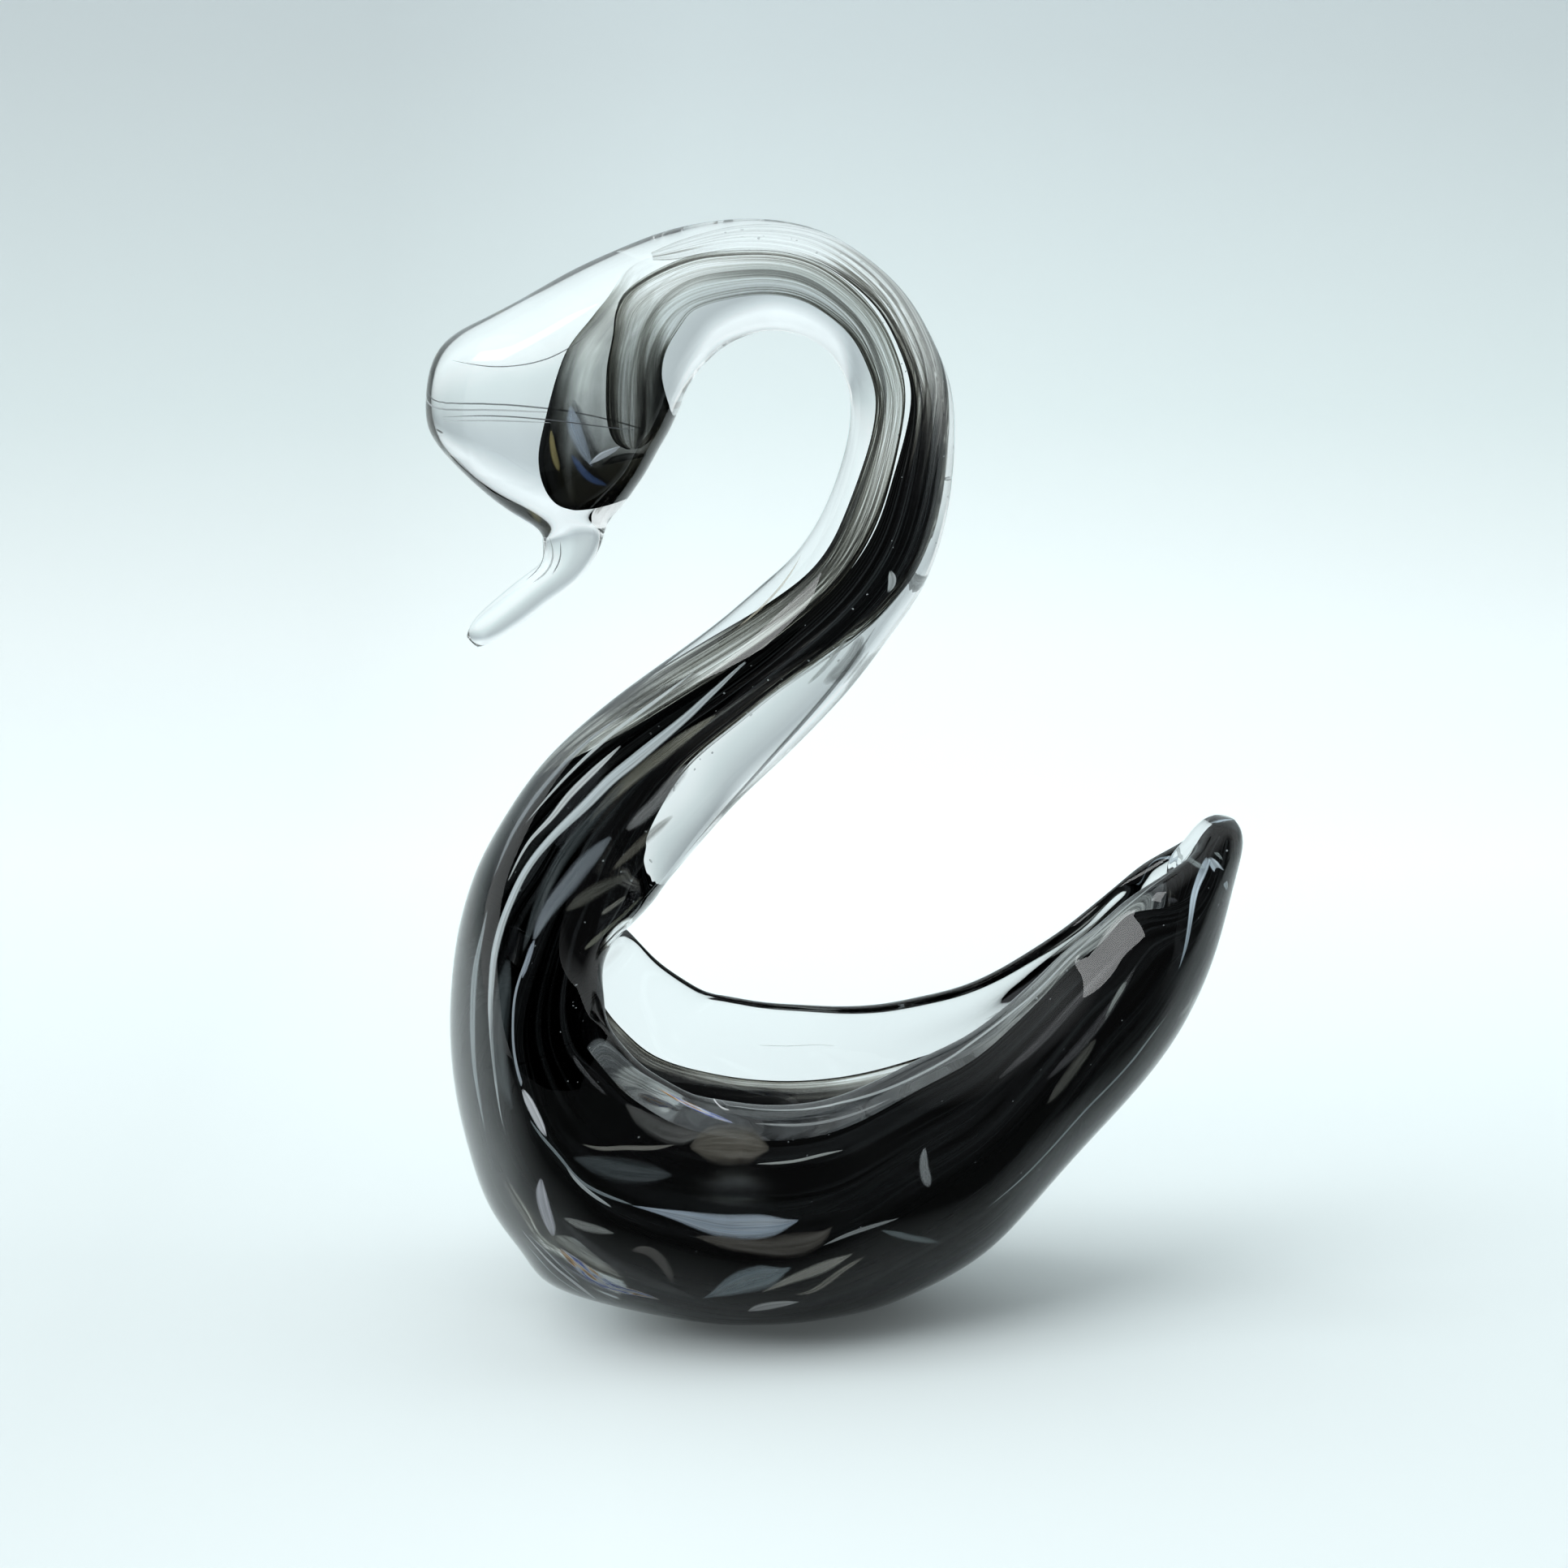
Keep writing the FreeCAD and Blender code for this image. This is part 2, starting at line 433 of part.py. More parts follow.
# the smoke: the bowl's lining, which closes into the neck's rear rod, in one skin
smoke = []
for k in range(lining_rib, rod_rib):
    r = ribs[k]
    tail_fade = [0.50, 0.72, 0.88, 0.96][k - lining_rib] if k - lining_rib < 4 else 1.0
    if k >= close_rib:
        lo, hi, wf, mix = close_rows[k - close_rib]
        smoke.append(smoke_section(r, share, drop, (lo, hi, wf), mix))
    elif r[9] > 0:
        L = math.hypot(r[2] - r[0], r[3] - r[1])
        smoke.append(smoke_section(r, share * tail_fade, drop, (0.44 - 0.26 * tail_fade, 0.44 + 0.16 * tail_fade, 0.60 * tail_fade), 1.0 if k < lining_rib + 3 else 0.45))
    else:
        smoke.append(smoke_section(r, share, drop))
count = len(smoke[0])
for line in rear_rod:
    r5 = line
    L = math.hypot(r5[2] - r5[0], r5[3] - r5[1])
    smoke.append(place([r5[0], r5[1], r5[2], r5[3]], half_e(L, r5[4], 2.0)))
smoke_full = feature("smoke_full", loft(smoke))
front_form = feature("core_front", loft([oval(r) for r in front_rod]))
bulb_form = feature("bulb_form", loft([oval(r) for r in bulb_rows]))

# the seam between the bowl gather and the neck gather, drawn in the XZ plane
half = num("tool_half")
curve = Part.BSplineCurve()
curve.interpolate([V(x, -half, z) for x, z in seam_pts])
a = V(seam_pts[0][0], -half, seam_pts[0][1])
b = V(seam_pts[-1][0], -half, seam_pts[-1][1])
edges = [curve.toShape(),
         Part.makeLine(b, V(-140, -half, b.z)), Part.makeLine(V(-140, -half, b.z), V(-140, -half, 260)),
         Part.makeLine(V(-140, -half, 260), V(60, -half, 260)), Part.makeLine(V(60, -half, 260), V(60, -half, 110)),
         Part.makeLine(V(60, -half, 110), a)]
seam_face = feature("seam_outline", Part.Face(Part.Wire(edges)))
tool = doc.addObject("Part::Extrusion", "neck_side")
tool.Label = "neck_side"
tool.Base = seam_face
tool.DirMode = "Custom"
tool.Dir = V(0, 1, 0)
tool.setExpression("LengthFwd", "sizes.tool_half * 2 * 1mm")
tool.Solid = True
doc.recompute()


def boolean(kind, name, base, tool_):
    o = doc.addObject(kind, name)
    o.Label = name
    o.Base = base
    o.Tool = tool_
    return o


neck_gather = boolean("Part::Common", "neck_gather", body, tool)
bowl_gather = boolean("Part::Cut", "bowl_gather", body, tool)
smoke_form = boolean("Part::Cut", "smoke_form", smoke_full, front_form)
core_rear = boolean("Part::Common", "core_rear", smoke_form, tool)
bowl_lining = boolean("Part::Cut", "bowl_lining", smoke_form, tool)
bowl_casing = boolean("Part::Cut", "bowl_casing", bowl_gather, smoke_form)
nc1 = boolean("Part::Cut", "neck_less_rear", neck_gather, smoke_form)
nc2 = boolean("Part::Cut", "neck_less_front", nc1, front_form)
neck_casing = boolean("Part::Cut", "neck_casing", nc2, bulb_form)
head_bulb = boolean("Part::Cut", "head_bulb", bulb_form, front_form)
beak = feature("beak", loft([section(r) for r in ribs[beak_rib:]]))
doc.recompute()

for o in doc.Objects:
    if "Invalid" in o.State or "Error" in o.State:
        raise RuntimeError("%s: %s" % (o.Label, o.State))

nodes = [("bowl_casing", bowl_casing), ("bowl_lining", bowl_lining), ("neck_casing", neck_casing),
         ("core_front", front_form), ("core_rear", core_rear), ("head_bulb", head_bulb), ("beak", beak)]
for name, o in nodes:
    sh = o.Shape
    if len(sh.Solids) != 1:
        raise RuntimeError("%s is %d solids" % (name, len(sh.Solids)))
    one = sh.Solids[0]
    if sh.isNull() or not sh.isValid() or one.Volume <= 0:
        raise RuntimeError("%s is not a valid solid" % name)
    one.exportStep("parts/%s.step" % name)
    print(name, "%.1f cm3" % (one.Volume / 1000.0))
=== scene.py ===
"""Looks of the hand-made cased-glass swan dish: a clear skin with smoke layers inside, on a bright sweep."""
import math
import random

import bpy
import numpy as np
from mathutils import Matrix, Vector


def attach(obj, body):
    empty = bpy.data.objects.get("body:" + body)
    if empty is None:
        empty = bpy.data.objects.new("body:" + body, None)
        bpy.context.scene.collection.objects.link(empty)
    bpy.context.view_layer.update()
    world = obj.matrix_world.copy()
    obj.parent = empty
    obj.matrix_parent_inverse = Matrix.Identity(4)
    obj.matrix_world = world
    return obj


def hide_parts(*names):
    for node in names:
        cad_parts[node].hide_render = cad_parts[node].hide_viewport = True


# the glass form in millimetres, the same numbers as the CAD's rib table
RIBS = [
    [64.31, 82.35, 61.07, 83.03, 0.6, 1.6, 2.2, 2.2, 2.0, 1, 2],
    [65.4, 80.72, 59.28, 82.32, 1.6, 4.2, 5.2, 4.6, 3.8, 0.9, 2],
    [65.73, 78.0, 57.38, 80.4, 3.0, 6.4, 8.6, 6.2, 4.6, 0.8, 2],
    [65.15, 74.74, 55.4, 78.38, 3.8, 8.18, 9.6, 7.0, 4.6, 0.55, 2],
    [63.95, 69.42, 52.89, 75.99, 5.0, 10.1, 10.6, 7.6, 4.8, 0.3, 2],
    [62.01, 61.47, 49.73, 73.32, 5.7, 12.02, 11.2, 8.2, 5.0, 0.08, 2],
    [59.13, 53.34, 46.09, 70.0, 6.1, 13.68, 11.6, 8.8, 5.2, 0, 2],
    [55.03, 45.45, 41.92, 66.28, 6.4, 15.48, 12.0, 9.4, 5.8, 0, 2],
    [49.18, 37.38, 37.04, 62.24, 6.4, 17.5, 12.6, 9.8, 6.0, 0, 2],
    [41.96, 29.13, 31.83, 57.87, 8.8, 20.0, 13.4, 10.0, 6.0, 0, 2],
    [34.04, 19.99, 26.49, 53.73, 11.5, 23.2, 14.0, 10.0, 6.0, 0, 2],
    [25.66, 10.78, 20.38, 50.01, 14.6, 26.6, 14.4, 9.8, 5.8, 0, 1.9],
    [16.68, 4.6, 13.78, 47.45, 17.4, 30.0, 14.4, 9.4, 5.6, 0, 1.6],
    [7.91, 0.72, 7.21, 45.15, 21.0, 32.8, 14.2, 9.0, 5.4, 0, 1.6],
    [1.84, -0.6, 0.67, 43.53, 25.4, 35.0, 14.2, 9.0, 5.2, 0, 1.8],
    [-6.66, -1.6, -6.04, 42.91, 28.6, 36.4, 14.2, 9.0, 5.2, 0, 2.05],
    [-15.16, -1.8, -13.21, 43.15, 29.8, 37.0, 14.2, 9.0, 5.2, 0, 2.1],
    [-23.66, -1.4, -19.86, 44.21, 30.2, 37.2, 14.2, 9.0, 5.2, 0, 1.9],
    [-46.44, 3.97, -24.58, 45.87, 30.4, 37.2, 14.8, 9.4, 5.2, 0, 1.5],
    [-52.18, 9.58, -28.51, 48.32, 31.0, 37.2, 15.8, 10.0, 5.2, 0, 1.4],
    [-57.32, 17.2, -31.53, 50.76, 31.6, 37.0, 17.0, 11.0, 5.2, 0, 1.4],
    [-60.79, 26.88, -34.06, 53.54, 31.6, 36.6, 18.2, 12.2, 5.4, 0, 1.4],
    [-62.89, 36.96, -35.53, 55.75, 30.4, 35.6, 19.4, 13.6, 5.8, 0.04, 1.4],
    [-63.66, 46.98, -36.09, 57.79, 27.6, 33.4, 20.6, 15.0, 6.6, 0.12, 1.4],
    [-63.24, 55.69, -35.7, 59.62, 23.6, 29.8, 21.8, 16.0, 7.6, 0.28, 1.5],
    [-62.04, 63.94, -34.39, 62.33, 19.4, 25.8, 23.0, 17.0, 9.0, 0.5, 1.6],
    [-59.92, 71.46, -32.46, 65.39, 15.6, 22.0, 24.5, 18.0, 10.5, 0.75, 1.8],
    [-56.64, 78.68, -29.75, 69.23, 12.4, 18.6, 26.0, 19.0, 12.0, 0.93, 2.05],
    [-50.44, 88.44, -27.91, 72.15, 8.3, 16.6, 27.8, 27.8, 13.9, 1.0, 2.0],
    [-43.11, 96.52, -22.59, 78.55, 7.5, 15.0, 27.28, 27.28, 13.64, 1.0, 2.0],
    [-35.18, 103.22, -16.89, 85.06, 6.6, 13.2, 25.77, 25.77, 12.89, 1.0, 2.0],
    [-26.63, 109.49, -10.31, 91.54, 6.15, 12.3, 24.27, 24.27, 12.13, 1.0, 2.0],
    [-18.77, 115.47, -3.74, 98.13, 5.8, 11.6, 22.95, 22.95, 11.48, 1.0, 2.0],
    [-12.24, 121.17, 2.79, 105.49, 5.45, 10.9, 21.72, 21.72, 10.86, 1.0, 2.0],
    [-7.69, 125.39, 7.98, 112.55, 5.15, 10.3, 20.26, 20.26, 10.13, 1.0, 2.0],
    [-4.06, 130.4, 12.5, 119.18, 5.0, 10, 20.0, 20.0, 10.0, 1.0, 2.0],
    [-1.6, 135.38, 15.7, 126.45, 4.9, 9.8, 19.48, 19.48, 9.74, 1.0, 2.0],
    [0.32, 140.87, 17.58, 134.99, 4.6, 9.2, 18.23, 18.23, 9.12, 1.0, 2.0],
    [1.47, 146.08, 18.28, 143.48, 4.3, 8.6, 17.01, 17.01, 8.51, 1.0, 2.0],
    [1.58, 151.28, 17.69, 152.57, 4.1, 8.2, 16.16, 16.16, 8.08, 1.0, 2.0],
    [0.41, 155.16, 14.79, 160.33, 3.95, 7.9, 15.28, 15.28, 7.64, 1.0, 2.0],
    [-1.92, 158.65, 10.63, 167.4, 3.95, 7.9, 15.3, 15.3, 7.65, 1.0, 2.0],
    [-5.13, 160.84, 4.71, 173.16, 4.05, 8.1, 15.76, 15.76, 7.88, 1.0, 2.0],
    [-8.99, 161.87, -2.6, 177.5, 4.2, 8.4, 16.88, 16.88, 8.44, 1.0, 2.0],
    [-12.84, 161.74, -10.9, 179.41, 4.4, 8.8, 17.77, 17.77, 8.88, 1.0, 2.0],
    [-16.7, 160.33, -19.21, 179.28, 4.7, 9.4, 19.12, 19.12, 9.56, 1.0, 2.0],
    [-19.92, 158.13, -27.52, 177.62, 5.1, 10.2, 20.92, 20.92, 10.46, 1.0, 2.0],
    [-22.25, 155.68, -35.21, 174.69, 5.45, 10.9, 23.01, 23.01, 11.51, 1.0, 2.14],
    [-23.67, 153.74, -42.93, 171.11, 5.75, 11.5, 25.93, 25.93, 12.97, 1.0, 2.27],
    [-24.45, 152.31, -50.67, 166.75, 6.0, 12, 29.93, 29.93, 14.97, 1.0, 2.38],
    [-24.98, 150.89, -57.14, 163.41, 6.15, 12.3, 34.52, 34.52, 17.26, 1.0, 2.45],
    [-25.37, 149.72, -62.33, 160.33, 6.2, 12.4, 38.45, 38.45, 19.23, 1.0, 2.49],
    [-26.15, 148.03, -64.98, 155.81, 6.15, 12.3, 39.6, 39.6, 19.8, 1.0, 2.49],
    [-27.2, 145.82, -65.74, 149.98, 5.95, 11.9, 38.76, 38.76, 19.38, 1.0, 2.45],
    [-28.77, 143.09, -65.16, 146.08, 5.6, 11.2, 36.52, 36.52, 18.26, 1.0, 2.38],
    [-30.73, 139.57, -62.77, 142.44, 5.1, 10.2, 32.17, 32.17, 16.09, 1.0, 2.27],
    [-32.83, 136.43, -59.47, 138.91, 4.45, 8.9, 26.76, 26.76, 13.38, 1.0, 2.14],
    [-34.92, 133.68, -55.64, 135.38, 3.6, 7.2, 20.79, 20.79, 10.39, 1.0, 2.0],
    [-36.89, 131.31, -51.41, 132.37, 2.8, 5.6, 14.56, 14.56, 7.28, 1.0, 2.0],
    [-37.69, 129.08, -48.06, 130.0, 2.3, 4.6, 10.42, 10.42, 5.21, 1.0, 2.0],
    [-38.49, 126.84, -47.19, 127.5, 2.1, 4.2, 8.72, 8.72, 4.36, 1.0, 2.0],
    [-40.21, 123.81, -47.61, 125.13, 1.95, 3.9, 7.51, 7.51, 3.76, 1.0, 2.0],
    [-42.84, 120.9, -49.32, 123.41, 1.85, 3.7, 6.95, 6.95, 3.47, 1.0, 2.0],
    [-46.39, 118.26, -51.95, 121.43, 1.75, 3.5, 6.4, 6.4, 3.2, 1.0, 2.0],
    [-49.81, 115.61, -54.98, 118.92, 1.65, 3.3, 6.14, 6.14, 3.07, 1.0, 2.0],
    [-53.37, 113.08, -57.62, 116.53, 1.5, 3.0, 5.48, 5.48, 2.74, 1.0, 2.0],
    [-56.27, 111.49, -59.22, 114.54, 1.2, 2.4, 4.25, 4.25, 2.13, 1.0, 2.0],
    [-57.97, 110.96, -59.9, 112.82, 0.7, 1.4, 2.68, 2.68, 1.34, 1.0, 2.0],
]
FRONT_ROD = [
    [-60.53, 41.42, -59.53, 41.81, 3.41],
    [-61.05, 44.12, -58.57, 45.1, 8.52],
    [-61.18, 47.95, -57.87, 49.25, 11.36],
    [-60.76, 56.04, -57.18, 56.55, 10.13],
    [-59.28, 63.78, -55.68, 63.57, 8.77],
    [-56.9, 70.79, -53.06, 69.94, 7.48],
    [-53.41, 77.55, -49.38, 76.13, 6.7],
    [-47.29, 86.16, -43.91, 83.72, 6.31],
    [-39.93, 93.73, -36.65, 90.86, 5.7],
    [-32.07, 100.13, -28.96, 97.05, 5.02],
    [-23.69, 106.26, -20.67, 102.94, 4.67],
    [-15.96, 112.23, -12.95, 108.76, 4.41],
    [-9.23, 118.03, -6.0, 114.66, 4.14],
    [-4.24, 122.57, -0.8, 119.74, 3.91],
    [-0.0, 127.65, 3.39, 125.35, 3.8],
    [3.07, 132.97, 6.36, 131.27, 3.72],
    [5.41, 139.14, 8.43, 138.11, 3.5],
    [6.85, 145.25, 9.71, 144.81, 3.27],
    [7.06, 151.72, 10.12, 151.96, 3.12],
    [5.44, 156.97, 8.46, 158.06, 3.0],
    [2.6, 161.8, 5.42, 163.77, 3.0],
    [-1.49, 165.4, 0.87, 168.36, 3.08],
    [-6.53, 167.89, -4.9, 171.87, 3.19],
    [-12.08, 168.63, -11.58, 173.23, 3.34],
    [-17.7, 167.91, -18.37, 172.93, 3.57],
    [-23.07, 166.22, -25.09, 171.38, 3.67],
    [-26.07, 163.54, -33.74, 166.5, 3.0],
    [-28.4, 160.33, -35.71, 162.26, 3.2],
    [-29.97, 156.2, -37.04, 156.84, 3.5],
    [-30.51, 151.8, -37.6, 151.8, 3.6],
    [-31.18, 148.42, -37.51, 147.9, 3.1],
    [-32.49, 146.08, -36.5, 145.56, 1.9],
    [-33.66, 145.04, -35.21, 144.78, 0.8],
]
REAR_ROD = [
    [-42.78, 82.9, -35.12, 77.36, 11.29],
    [-35.72, 90.05, -30.39, 85.38, 9.3],
    [-28.23, 96.32, -24.48, 92.6, 7.39],
    [-20.02, 102.22, -17.08, 98.99, 6.64],
    [-12.31, 108.01, -9.75, 105.07, 6.03],
    [-5.4, 114.04, -2.32, 110.82, 5.67],
    [-0.17, 119.23, 3.51, 116.21, 5.36],
    [4.05, 124.9, 8.28, 122.04, 5.2],
    [7.05, 130.92, 11.55, 128.59, 5.1],
    [9.12, 137.87, 13.61, 136.34, 4.78],
    [10.38, 144.7, 14.5, 144.06, 4.3],
    [10.68, 152.01, 14.15, 152.29, 4.1],
    [8.97, 158.24, 11.7, 159.22, 3.95],
    [5.86, 164.08, 7.93, 165.52, 3.79],
    [1.22, 168.79, 2.61, 170.54, 3.73],
    [-4.71, 172.34, -3.96, 174.17, 3.7],
    [-11.52, 173.76, -11.33, 175.52, 3.52],
    [-18.44, 173.5, -18.63, 174.92, 3.2],
    [-25.32, 171.97, -25.73, 173.04, 2.45],
    [-28.83, 171.43, -29.02, 171.92, 1.1],
]
BULB = [
    [-24.25, 166.5, -32.31, 169.83, 3.2],
    [-25.29, 164.7, -34.76, 167.27, 3.9],
    [-26.84, 162.64, -37.61, 164.19, 4.6],
    [-28.79, 159.81, -40.99, 160.84, 5.4],
    [-29.97, 156.45, -43.86, 156.97, 6.2],
    [-30.12, 152.31, -45.59, 152.31, 6.9],
    [-29.77, 148.03, -46.8, 147.9, 7.3],
    [-30.05, 144.78, -47.63, 144.13, 7.3],
    [-31.23, 141.92, -47.41, 140.61, 6.8],
    [-33.45, 138.91, -46.28, 137.74, 5.6],
    [-36.58, 136.56, -44.62, 135.77, 3.6],
    [-39.7, 135.38, -42.69, 134.99, 1.4],
]
CLOSE = [
    [0.26, 0.8, 0.8, 0.12],
    [0.27, 0.81, 0.8, 0.3],
    [0.28, 0.82, 0.8, 0.52],
    [0.29, 0.81, 0.79, 0.74],
    [0.3, 0.78, 0.76, 0.9],
    [0.32, 0.74, 0.72, 1.0],
]

